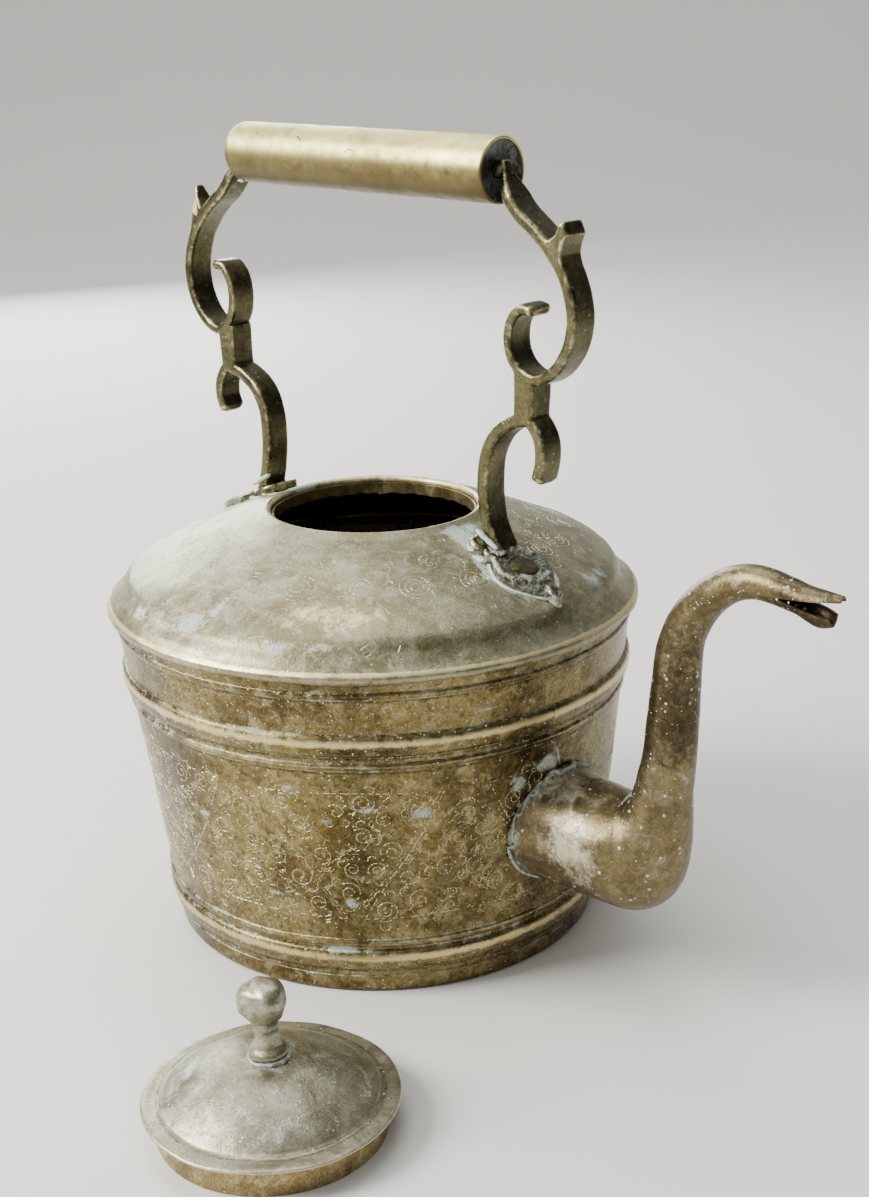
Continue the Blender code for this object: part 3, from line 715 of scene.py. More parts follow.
def dome_push(x, y, z, turn, radius):
    """Dents and ripples, along the normal."""
    outer = ease(48.0, 80.0, radius)
    push = 0.55 * lump(x, y, z, 30.0, 1.5) * outer + 0.16 * lump(x, y, z, 9.0, 8.0)
    push -= 1.0 * facing(turn, -92.0, 7.0) * bump_at(radius, 96.0, 6.0)
    push -= 0.7 * facing(turn, -76.0, 6.0) * bump_at(radius, 88.0, 6.0)
    push += 0.5 * facing(turn, -103.0, 8.0) * bump_at(radius, 86.0, 8.0)
    rim = bump_at(radius, SHOULDER_R, 2.5) * (0.35 * lump(x, y, 0.0, 14.0, 6.0))
    return push + rim


def dome_surface(angle, row, lift=0.0):
    """A point on the dome's upper side, by row of its outline."""
    turn = math.degrees(angle)
    soft = crushed(turn)
    radius = CRISP[row][0] * (1 - soft) + SOFT[row][0] * soft
    height = CRISP[row][1] * (1 - soft) + SOFT[row][1] * soft
    before, after = CRISP[max(row - 1, 0)], CRISP[min(row + 1, len(CRISP) - 1)]
    along = Vector((after[0] - before[0], after[1] - before[1])).normalized()
    x, y, _ = polar(angle, radius, height)
    push = lift + dome_push(x, y, height, turn, radius) * ease(43.0, 48.0, radius)
    radius += push * along.y
    height -= push * along.x
    return Vector(leaned(angle, radius, height, ease(84.0, 100.0, radius)))


def dome_at(angle, radius, lift=0.0):
    """A point on the dome's upper side, by radius."""
    for row in range(4, len(CRISP) - 1):
        r0, r1 = CRISP[row][0], CRISP[row + 1][0]
        if r1 <= radius <= r0:
            t = (r0 - radius) / max(r0 - r1, 1e-6)
            return dome_surface(angle, row, lift).lerp(dome_surface(angle, row + 1, lift), t)
    return dome_surface(angle, len(CRISP) // 2, lift)


def dome_height(radius):
    return float(np.interp(radius, [p[0] for p in DOME_CRISP[::-1]],
                           [p[1] for p in DOME_CRISP[::-1]]))


def foot_crust(x, y):
    """How much pale flux crust lies round the handle's feet."""
    along = (abs(x) - FOOT_X["front" if x > 0 else "rear"]) / 36.0
    if not -0.35 < along < 1.2:
        return 0.0
    half = 11.0 * math.sin(math.pi * min(max(along, 0.08), 0.95)) ** 0.6
    gap = abs(y) - half
    much = 0.75 if x > 0 and y >= 0 else 1.35
    return much * math.exp(-(max(gap, 0.0) / 4.2) ** 2) * ease(1.2, 0.7, along)


def make_dome():
    count = len(CRISP)
    outline = list(CRISP) + UNDER[::-1]

    def shape(row, angle, radius, height):
        if row < count:
            return dome_surface(angle, row)
        return dome_surface(angle, 2 * count - 1 - row, -SHEET)

    def mask(row, angle, radius, height):
        if row >= count:
            return (0, 0, 1.2, 1)
        x, y, _ = polar(angle, radius, height)
        turn = math.degrees(angle)
        verdigris = max(patched(DOME_PATCHES, turn, radius), foot_crust(x, y))
        soft = crushed(turn)
        wear_and_highlight = 1.25 * bump_at(height, SHOULDER_Z + 0.2, 0.9) * ease(102.6, 104.2, radius)
        # Painted highlight: bright gold patches on the step at two headings on the near side.
        step_highlight = 0.30 * facing(turn, -52.0, 22.0) * bump_at(radius, 86.0, 7.0)
        step_highlight = max(step_highlight, 0.34 * facing(turn, -103.0, 9.0)
                   * bump_at(radius, 84.0, 7.0))
        wear_and_highlight = max(wear_and_highlight, 1.5 * step_highlight + 0.30 * lump(x, y, height, 16.0, 11.0))
        roll = bump_at(radius, MOUTH_R + 0.6, 1.0) * ease(164.5, 166.0, height)
        wear_and_highlight = max(wear_and_highlight, 0.75 * roll)
        # Painted shade along the inside of the step and under the shoulder's lip; darker going
        # down into the mouth.
        grime_and_shade = 0.36 * bump_at(radius, 97.2, 2.6) * (1.0 - soft)
        grime_and_shade = max(grime_and_shade, 0.55 * bump_at(height, LIP_Z + 0.6, 1.2))
        grime_and_shade = max(grime_and_shade, 1.2 * ease(164.2, 162.8, height) * (radius < 45.0))
        return (verdigris + 0.16 * lump(x, y, height, 12.0, 13.0) * (verdigris > 0.1), wear_and_highlight,
                grime_and_shade, 1.0)

    turned("dome_skin", outline, 420, shape, mask, "dome", KETTLE, ("dome_cover",),
           sharp=60)

    rng = random.Random(5)
    sleeve = [(40.4, 160.8), (40.4, 165.2), (39.5, 165.2), (39.5, 160.8)]
    steps = 160
    edge = [0.9 * noise.noise(Vector((i * 0.35, 2.0, 0.0))) + rng.uniform(-0.15, 0.15)
            for i in range(steps)]

    def ragged(row, angle, radius, height):
        drop = edge[round(angle / TAU * steps) % steps] if height < 162.0 else 0.0
        return polar(angle, radius, height + drop)

    turned("collar_skin", sleeve, steps, ragged, None, "bright", KETTLE,
           ("mouth_collar",))


DOME_PATCHES = (
    (-88.7, 94.8, 5.0, 4.0, 1.05), (-84.0, 88.0, 1.5, 9.0, 0.95), (-104.8, 97.8, 4.0, 2.5, 1.0),
    (-64.0, 97.0, 3.4, 2.4, 0.95), (-60.0, 93.0, 2.0, 2.0, 0.7), (-54.4, 97.0, 3.0, 1.4, 0.75),
    (-91.0, 83.0, 3.0, 4.0, 0.65), (-79.0, 101.0, 4.0, 2.0, 0.7), (20.0, 92.0, 10.0, 5.0, 0.8),
    (110.0, 78.0, 12.0, 8.0, 0.8), (165.0, 95.0, 9.0, 4.0, 0.85), (-150.0, 72.0, 8.0, 7.0, 0.7),
)


# ------------------------------------------------------------- spout

SPOUT_SIDES = 56


def spout_sections():
    rows = [((x, upper), (x, lower), half) for x, upper, lower, half in SPOUT_ROOT]
    rows += list(SPOUT_ELBOW)
    route = smooth_path(SPOUT_ROUTE, 2)
    for i, point in enumerate(route):
        along = route[min(i + 1, len(route) - 1)] - route[max(i - 1, 0)]
        side = Vector((-along.y, along.x)).normalized()
        middle = Vector((point.x, point.y))
        rows.append((middle + side * point.z, middle - side * point.z, point.z))
    rows += list(SPOUT_BEAK)
    flat = [(a[0], a[1], b[0], b[1], half) for a, b, half in rows]
    return [tuple(p) for p in smooth_path(flat, 4, np.array)]


def spout_point(section, turn, inset, lift=0.0):
    ux, uz, lx, lz, half = section
    middle = Vector(((ux + lx) / 2, (uz + lz) / 2))
    reach = Vector(((ux - lx) / 2, (uz - lz) / 2))
    length = reach.length
    reach *= (length - inset + lift) / length
    across = middle + reach * math.cos(turn)
    y = (half - inset + lift) * math.sin(turn)
    size = 0.28 * lump(across.x, y, across.y, 12.0, 4.0) + 0.12 * lump(across.x, y, across.y,
                                                                     4.5, 6.0)
    out = Vector((reach.x * math.cos(turn), y, reach.y * math.cos(turn)))
    if out.length > 1e-6:
        out.normalize()
    amount = size * ease(3.0, 9.0, half)
    return Vector((across.x + out.x * amount, y + out.y * amount, across.y + out.z * amount))


SPOUT = spout_sections()


def make_spout():
    turns = [TAU * i / SPOUT_SIDES for i in range(SPOUT_SIDES)]
    outer = [[spout_point(s, t, 0.0) for t in turns] for s in SPOUT]
    inner = [[spout_point(s, t, SHEET) for t in turns] for s in SPOUT]
    verts, faces = tube_rings(outer + inner[::-1] + [outer[0]], cap=False)
    last = len(outer + inner) * SPOUT_SIDES
    faces = [tuple(i - last if i >= last else i for i in face) for face in faces]
    verts = verts[:last]
    made = piece("spout_skin", verts, faces, "spout", KETTLE,
                 ("spout_root", "spout_neck"), sharp=55)

    slit = [[Vector((x * MM, y * MM, z * MM)) for x, z in BEAK_SLIT] for y in (-20.0, 20.0)]
    bore = [[Vector(polar(TAU * i / 96, wall_radius(h) - 0.2, h)) * MM for i in range(96)]
            for h in range(20, 111, 5)]
    cutters = [shell("slit", *tube_rings(slit)), shell("bore", *tube_rings(bore))]
    for cutter in cutters:
        step = made.modifiers.new(cutter.name, "BOOLEAN")
        step.operation = "DIFFERENCE"
        step.solver = "EXACT"
        step.object = cutter
    bake(made)
    for cutter in cutters:
        bpy.data.objects.remove(cutter, do_unlink=True)
    points = np.empty(len(made.data.vertices) * 3)
    made.data.vertices.foreach_get("co", points)
    points = points.reshape(-1, 3) / MM
    masks = []
    for x, y, z in points:
        root = bump_at(math.hypot(x, y), 96.0, 4.0)
        tip = ease(178.0, 192.0, x)
        corner = bump_at(x, 130.0, 4.0) * bump_at(z, 81.0, 4.0)
        fleck = 0.36 * bump_at(lump(x, y, z, 9.0, 2.0), 0.35, 0.18)
        # Painted highlight: pale round the middle of the spout root and along its top.
        pale = 0.80 * bump_at(x, 116.0, 14.0) * bump_at(z, 62.0, 18.0)
        pale = max(pale, 0.75 * bump_at(x, 104.0, 12.0) * ease(68.0, 80.0, z))
        grime_and_shade = 0.75 * ease(86.0, 110.0, z) * ease(176.0, 140.0, z) + 0.70 * tip
        masks.append((max(0.62 * root, 0.5 * corner, fleck), pale, grime_and_shade, 1.0))
    paint(made.data, masks)
    finish_skin(made.data, 55)


# ------------------------------------------------------------- handle

def bar(points, widths, depth, steps=5, taper=0.0):
    """A flat cast bar with rounded corners that follows a path in the plane y = 0.

    Over the first `taper` of its length it grows from a slim tip."""
    path = smooth_path(points, steps)
    rings = []
    for i, point in enumerate(path):
        along = (path[min(i + 1, len(path) - 1)] - path[max(i - 1, 0)]).normalized()
        side = Vector((-along.y, along.x))
        run = i / (len(path) - 1)
        grown = 0.34 + 0.66 * ease(0.0, taper, run) if run < taper else 1.0
        half_w = (widths[0] + (widths[1] - widths[0]) * run) / 2 * grown
        half_d = depth / 2 * grown
        edge = CAST_EDGE * grown
        ring = []
        for sx, sy, start in ((1, 1, 0), (-1, 1, 90), (-1, -1, 180), (1, -1, 270)):
            for turn in (0, 45, 90):
                angle = math.radians(start + turn)
                u = sx * (half_w - edge) + edge * math.cos(angle)
                v = sy * (half_d - edge) + edge * math.sin(angle)
                at = point + side * u
                ring.append(Vector((at.x, v, at.y)))
        rings.append(ring)
    end = path[-1] + (path[-1] - path[-2]).normalized() * CAST_EDGE
    last = Vector((path[-1].x, 0.0, path[-1].y))
    rings.append([Vector((end.x, 0.0, end.y)) + (point - last) * 0.62 for point in rings[-1]])
    return tube_rings(rings)


def horn(outline, depth, tip):
    """A chamfered plate in the plane y = 0 that narrows to `tip` of its depth at its top."""
    middle = Vector((sum(x for x, _ in outline), sum(z for _, z in outline))) / len(outline)
    rings = []
    for across, shrink in ((-0.5, 0.9), (-0.5 + 0.8 / depth, 1.0), (0.5 - 0.8 / depth, 1.0),
                           (0.5, 0.9)):
        ring = []
        for x, z in outline:
            at = middle + (Vector((x, z)) - middle) * shrink
            thin = 1.0 - (1.0 - tip) * ease(275.0, 285.0, at.y)
            ring.append(Vector((at.x, across * depth * thin, at.y)))
        rings.append(ring)
    return tube_rings(rings)


def boss(outline, levels, height_at):
    """A plate with a rounded top edge on the dome: levels are (shrink, height) rings."""
    middle = (sum(x for x, _ in outline) / len(outline), sum(y for _, y in outline) / len(outline))
    rings = []
    for shrink, rise in levels:
        ring = []
        for x, y in outline:
            px = middle[0] + (x - middle[0]) * shrink
            py = middle[1] + (y - middle[1]) * shrink
            ring.append(Vector((px, py, height_at(px, py) + rise)))
        rings.append(ring)
    return tube_rings(rings)


def leaf_outline(start, length, half):
    """A pointed oval with a waist near its root, as (x, y) points."""
    points = []
    for i in range(48):
        t = TAU * i / 48
        u = 0.5 - 0.5 * math.cos(t)
        width = half * math.sin(math.pi * u) ** 0.62 * (0.80 + 0.35 * u) * (1.0 - 0.25 * u ** 4)
        points.append((start + length * u, math.copysign(width, math.sin(t)) if 0 < i < 48
                       and i != 24 else 0.0))
    return points


def round_outline(x, y, rx, ry, count=20):
    return [(x + rx * math.cos(TAU * i / count), y + ry * math.sin(TAU * i / count))
            for i in range(count)]


def foot_members(name):
    middle = HANDLE_X * SIDES[name]
    start = FOOT_X[name] - middle

    def on_dome(x, y):
        return dome_height(min(100.5, math.hypot(x + middle, y))) + FOOT_BED - 0.3

    top = FOOT_T
    plate = ((0.96, -0.4), (1.0, 0.6), (1.0, top - 1.3), (0.965, top - 0.5), (0.90, top - 0.05),
             (0.80, top - 0.35), (0.70, top - 0.7), (0.40, top - 0.8))
    small = ((0.94, -0.4), (1.0, 0.5), (1.0, top - 1.2), (0.85, top - 0.4), (0.55, top - 0.25),
             (0.35, top - 0.8))
    members = [boss(leaf_outline(start + 6.5, 27.5, 12.4), plate, on_dome)]
    members.append(boss(round_outline(start + 4.4, 0.0, 5.2, 6.4), small, on_dome))
    for side in (-1, 1):
        members.append(boss(round_outline(start + 4.0, side * 5.6, 3.6, 3.2), small, on_dome))
        members.append(boss(round_outline(start + 10.2, side * 6.6, 2.2, 2.0), small, on_dome))
    tip = ((0.85, -0.5), (1.0, 0.4), (1.06, top - 1.2), (0.8, top - 0.2), (0.4, top))
    members.append(boss(round_outline(start + 32.5, 0.0, 3.6, 2.4), tip, on_dome))
    knob = ((0.8, -0.6), (1.05, 0.6), (1.0, top - 0.4), (0.75, top + 0.5), (0.3, top + 0.6))
    members.append(boss(round_outline(start + 36.0, 0.0, 2.9, 3.1, 8), knob, on_dome))
    return members


def grip_frame(along, turn, radius):
    """A point on the grip, with 0 degrees straight down and 90 towards -Y."""
    sink = -math.tan(GRIP_TILT) * along
    return Vector((HANDLE_X + along, -radius * math.sin(turn), GRIP_Z + sink
                   - radius * math.cos(turn)))


def make_arms():
    for name, side in SIDES.items():
        place = Matrix.Translation((HANDLE_X, 0.0, 0.0))
        if side < 0:
            place = place @ Matrix.Rotation(math.pi, 4, "Z")
        parts = [
            bar(STEM + SCROLL[name], (4.9, 3.8), ARM_DEPTH, steps=6, taper=0.12),
            horn(SPUR[name], ARM_DEPTH - 0.3, SPUR_TIP[name]),
            bar(NECK, (9.8, 8.8), ARM_DEPTH - 0.8),
            bar(HOOK[name], (4.8, 5.0), ARM_DEPTH - 1.2),
            bar(LEG[name], (5.0, 5.6), ARM_DEPTH - 0.9, steps=6),
        ]
        parts += foot_members(name)
        end = GRIP_HALF - 1.6
        turns = [TAU * i / 14 for i in range(14)]
        tang = []
        for along, radius in ((end - 4.0, 3.0), (end, 3.0), (end + 2.2, 3.4), (end + 3.4, 3.0)):
            tang.append([Vector((along, radius * math.cos(t), GRIP_Z - side * along
                                 * math.tan(GRIP_TILT) + radius * math.sin(t))) for t in turns])
        parts.append(tube_rings(tang))
        verts, faces = merge(parts)
        moved = []
        for v in verts:
            p = Vector(v)
            p += 0.14 * Vector((lump(*p, 7.0, 1.0), lump(*p, 7.0, 2.0), lump(*p, 7.0, 3.0)))
            moved.append(place @ p)
        made = piece("arm_" + name, moved, faces, "arm", KETTLE,
                     ("handle_arm_" + name,))
        remesh(made, 0.42, 7)
        edge_wear_and_highlight(made)


def make_grip():
    rows = [(-GRIP_HALF, GRIP_R - 1.5), (-GRIP_HALF + 0.3, GRIP_R - 0.8),
            (-GRIP_HALF + 0.9, GRIP_R - 0.3), (-GRIP_HALF + 1.8, GRIP_R - 0.02)]
    rows += [(float(a), GRIP_R) for a in np.linspace(-GRIP_HALF + 3.0, GRIP_HALF - 1.2, 90)]
    rows += [(GRIP_HALF - 0.5, GRIP_R - 0.05), (GRIP_HALF - 0.1, GRIP_R - 0.35),
             (GRIP_HALF, GRIP_R - 0.7), (GRIP_HALF - 0.1, GRIP_R - SHEET),
             (GRIP_HALF - 6.0, GRIP_R - SHEET - 0.1), (-GRIP_HALF + 6.0, GRIP_R - SHEET - 0.1),
             (-GRIP_HALF + 0.2, GRIP_R - SHEET - 0.8)]

    def shape(row, angle, radius, height):
        p = grip_frame(height, angle, radius)
        amount = 0.10 * lump(*p, 18.0, 2.0) + 0.04 * lump(*p, 5.0, 3.0)
        return grip_frame(height, angle, radius + amount)

    def mask(row, angle, radius, height):
        # Painted shade on the grip's underside, turned a little towards -Y; the ends also darken
        # with grime.
        under = 0.5 + 0.5 * math.cos(angle - 0.35)
        ends = max(bump_at(height, GRIP_HALF, 0.9), bump_at(height, -GRIP_HALF, 1.2))
        return (0.2 * ends, 0.0, 1.15 * ease(0.22, 0.90, under) + 0.3 * ends, 1.0)

    turned("grip_skin", [(r, a) for a, r in rows], 96, shape, mask, "grip", KETTLE,
           ("grip_tube",), sharp=50)
    for name, side in SIDES.items():
        cap = [(3.0, 2.4), (5.0, 2.3), (7.4, 2.0), (9.2, 1.5), (10.4, 0.7), (10.5, 1.6),
               (9.0, 2.6), (3.0, 3.4)]
        if side < 0:
            cap = [(3.0, 0.5), (6.0, 0.35), (8.6, 0.4), (10.0, 0.6), (10.4, 0.9), (10.3, 1.9),
                   (9.0, 2.2), (3.0, 2.4)]

        def shape_cap(row, angle, radius, depth, side=side):
            p = grip_frame(side * (GRIP_HALF - depth), angle, radius)
            p.x += 0.18 * lump(*p, 5.0, 5.0)
            return p

        # The front cap's near-black finish is its patina and a painted dark reflection.
        turned("cap_" + name, cap, 64, shape_cap, None, "dark_patina_and_reflection" if side > 0 else "arm", KETTLE,
               ("grip_cap_" + name,))


def make_rivets():
    for name, side in SIDES.items():
        slope = (dome_height(RIVET_X[name] - 2.0) - dome_height(RIVET_X[name] + 2.0)) / 4.0
        turn = Matrix.Rotation(side * math.atan(slope), 4, "Y")
        place = Matrix.Translation((side * RIVET_X[name], 0, dome_height(RIVET_X[name]))) @ turn
        top = FOOT_BED + FOOT_T - 0.9
        head = [(0.0, top + 0.1), (2.0, top + 0.15), (4.0, top + 0.2), (5.2, top + 0.05),
                (5.7, top - 0.3), (5.6, top - 0.7), (2.0, top - 0.7), (2.0, -2.6), (3.3, -2.6),
                (2.6, -3.7), (0.0, -3.9)]

        def shape(row, angle, radius, height, place=place):
            p = Vector(polar(angle, radius, height))
            rise = 0.35 * lump(*p, 2.6, 4.0) if height > 2.0 else 0.0
            return place @ (p + Vector((0.0, 0.0, rise)))

        turned("rivet_" + name, head, 40, shape, None, "arm", KETTLE,
               ("foot_rivet_" + name,), closed=False)


# ------------------------------------------------------------- lid

def lid_height(radius):
    return CREASE_Z + (CROWN_Z - CREASE_Z) * (1.0 - (min(radius, CREASE_R) / CREASE_R) ** 2.3)


def make_lid():
    rim = [(LID_R - 0.4, 10.75), (LID_R, 11.0), (LID_R + 0.05, 11.35), (LID_R - 0.3, 11.75),
           (LID_R - 1.0, 11.95), (41.2, 12.05), (39.5, 12.1), (38.2, 12.2), (37.3, 12.3),
           (36.7, 12.55), (36.2, 12.95)]
    crown = [(float(r), lid_height(float(r))) for r in np.linspace(35.4, 2.6, 42)]
    upper = spaced(rim, 0.7) + crown
    under = offset_line(upper, 0.9)
    outline = upper + under[::-1]

    def shape(row, angle, radius, height):
        x, y, z = polar(angle, radius, height)
        push = ((0.40 * lump(x, y, z, 20.0, 12.0) + 0.20 * lump(x, y, z, 7.0, 14.0))
                * ease(4.0, 12.0, radius))
        push += 0.45 * lump(x, y, 0.0, 16.0, 15.0) * ease(38.0, 43.0, radius)
        return (LID_X + x, LID_Y + y, z + push)

    def mask(row, angle, radius, height):
        if row >= len(upper):
            return (0, 0, 0.8, 1)
        turn = math.degrees(angle)
        x, y, _ = polar(angle, radius, height)
        patch = 1.0 * facing(turn, 215.0, 22.0) * bump_at(radius, 27.0, 4.0)
        patch = max(patch, 0.35 + 0.35 * lump(x, y, height, 8.0, 3.0)) if radius < 34 else patch
        edge = 0.70 * bump_at(radius, CREASE_R - 0.4, 0.8) + 0.85 * bump_at(radius, LID_R, 0.6)
        # Painted shade in the hollow of the flange next to the crease.
        crease_shade = 0.7 * bump_at(radius, CREASE_R + 1.3, 0.8)
        return (max(patch, 0.42 * bump_at(radius, 9.0, 3.0)), edge, crease_shade, 1.0)

    turned("lid_skin", outline, 220, shape, mask, "lid", LID, ("lid_cover",), sharp=60)

    skirt = [(SKIRT_R, 0.0), (SKIRT_R, 3.0), (SKIRT_R, 6.0), (SKIRT_R, 9.0), (SKIRT_R, SKIRT_H),
             (SKIRT_R - 0.9, SKIRT_H), (SKIRT_R - 0.9, 5.0), (SKIRT_R - 0.9, 0.0)]

    def shape_skirt(row, angle, radius, height):
        x, y, z = polar(angle, radius, height)
        x, y, _ = polar(angle, radius + 0.25 * lump(x, y, z, 14.0, 6.0), z)
        return (LID_X + x, LID_Y + y, z)

    turned("skirt_skin", skirt, 160, shape_skirt, None, "bright", LID, ("lid_skirt",))

    foot = [(0.0, -4.6), (2.4, -4.4), (3.2, -3.4), (2.0, -3.3), (2.0, 0.5)]
    stem = spaced([(5.6, 0.3), (6.5, 1.0), (6.6, 1.8), (6.2, 2.9), (5.0, 4.4), (4.2, 6.4),
                   (4.0, 9.0), (4.3, 11.4)], 0.6)
    ball = [(KNOB_R * math.cos(math.radians(t)), KNOB_Z + KNOB_R * math.sin(math.radians(t)))
            for t in range(-56, 90, 5)]
    outline = foot + stem + ball + [(0.0, KNOB_Z + KNOB_R)]

    def shape_knob(row, angle, radius, height):
        p = Vector(polar(angle, radius, height))
        if height > 10.5:
            out = Vector((p.x, p.y, p.z - KNOB_Z))
            if out.length > 0.5:
                out.normalize()
            p += out * (1.10 * lump(*p, 8.5, 21.0) + 0.62 * lump(*p, 3.6, 22.0))
            p.x *= 1.05
        elif height > 0.0:
            p += Vector((p.x, p.y, 0.0)).normalized() * 0.3 * lump(*p, 4.0, 23.0)
        return KNOB_PLACE @ p

    def mask_knob(row, angle, radius, height):
        return (0.55 * bump_at(height, 1.0, 1.4), 0.0,
                0.36 * ease(8.0, 12.0, height), 1.0)

    turned("knob_skin", outline, 72, shape_knob, mask_knob, "lid", LID, ("lid_knob",),
           closed=False, sharp=60)


# ------------------------------------------------------------- solder

SOLDER_SIDES = 10


def solder_line(name, path, radius, body=KETTLE, flat=1.0, seed=0.0, closed=True, uneven=0.45,
                material="solder"):
    """A lumpy run of solder along a path of points."""
    count = len(path)
    turns = [TAU * k / SOLDER_SIDES for k in range(SOLDER_SIDES)]
    rings = []
    for i, point in enumerate(path):
        if closed:
            along = path[(i + 1) % count] - path[i - 1]
        else:
            along = path[min(i + 1, count - 1)] - path[max(i - 1, 0)]
        along.normalize()
        side = along.cross(Vector((0, 0, 1)))
        side = side.normalized() if side.length > 0.05 else Vector((1, 0, 0))
        up = side.cross(along)
        size = radius * (1.0 + uneven * lump(*point, 4.0, seed)
                         + 0.5 * uneven * lump(*point, 1.6, seed + 3.0))
        if not closed:
            size *= 0.25 + 0.75 * math.sin(math.pi * (i + 0.5) / count) ** 0.5
        rings.append([point + side * (size * math.cos(turn)) + up * (size * flat * math.sin(turn))
                      for turn in turns])
    verts, faces = tube_rings(rings, cap=not closed)
    if closed:
        last = (count - 1) * SOLDER_SIDES
        faces += [(last + k, last + (k + 1) % SOLDER_SIDES, (k + 1) % SOLDER_SIDES, k)
                  for k in range(SOLDER_SIDES)]
    return piece(name, verts, faces, material, body)


def make_solder():
    ring = []
    for i in range(150):
        turn = TAU * i / 150
        at = None
        for section in SPOUT:
            p = spout_point(section, turn, 0.0, 0.25)
            if math.hypot(p.x, p.y) >= wall_radius(p.z) + 0.35:
                at = p
                break
        ring.append(at)
    solder_line("solder_spout", ring, 0.72, seed=1.0, uneven=0.9)
    drip = [wall_surface(math.radians(-1.0 - 0.15 * i), 84.6 + 0.9 * i, 0.1) for i in range(9)]
    solder_line("solder_drip", drip, 0.5, seed=2.0, closed=False)
    corner = [Vector((129.4 + 0.1 * abs(y), y, 81.0 - 0.018 * y * y))
              for y in np.linspace(-7.0, 7.0, 15)]
    solder_line("solder_elbow", corner, 0.8, seed=4.0, closed=False)

    for name, side in SIDES.items():
        middle = HANDLE_X * side
        start = FOOT_X[name] - middle
        edge = []
        for x, y in leaf_outline(start + 5.6, 29.4, 13.2):
            gx = side * x + HANDLE_X
            edge.append(Vector((gx, side * y, dome_height(min(100.0, math.hypot(gx, y))) + 0.2)))
        solder_line("solder_foot_" + name, edge[3:-2], 0.85, flat=0.6, seed=5.0, closed=False,
                    uneven=0.8, material="crust")
        for k, (x, y, size) in enumerate(((start + 1.5, -6.6, 1.7), (start + 7.5, -8.4, 1.9),
                                          (start + 1.0, 7.0, 1.6))):
            gx, gy = side * x + HANDLE_X, y
            z = dome_height(math.hypot(gx, gy)) + 0.1
            blob = [Vector((gx + side * d, gy - 0.5 * d, z)) for d in np.linspace(-3.2, 3.2, 9)]
            solder_line("solder_blob_%s_%d" % (name, k), blob, size, flat=0.45, seed=k + 6.0,
                        closed=False, uneven=0.8, material="crust")
        leg_x, leg_z = LEG[name][-2]
        heel = [Vector((side * (leg_x - 4.2 + 10.0 * t) + HANDLE_X, -6.1, leg_z - 0.5 - 5.5 * t))
                for t in (i / 8.0 for i in range(9))]
        solder_line("solder_leg_" + name, heel, 1.35, flat=0.7, seed=8.0, closed=False,
                    material="crust")

    rear = [grip_frame(-GRIP_HALF + 0.2 + 0.5 * i, math.radians(24), GRIP_R + 0.1)
            for i in range(8)]
    solder_line("solder_tang_rear", rear, 0.8, seed=9.0, closed=False)

    base = [KNOB_PLACE @ Vector(polar(TAU * i / 44, 6.6, -0.2)) for i in range(44)]
    solder_line("solder_knob", base, 0.85, LID, seed=7.0)


# ------------------------------------------------------------- chasing

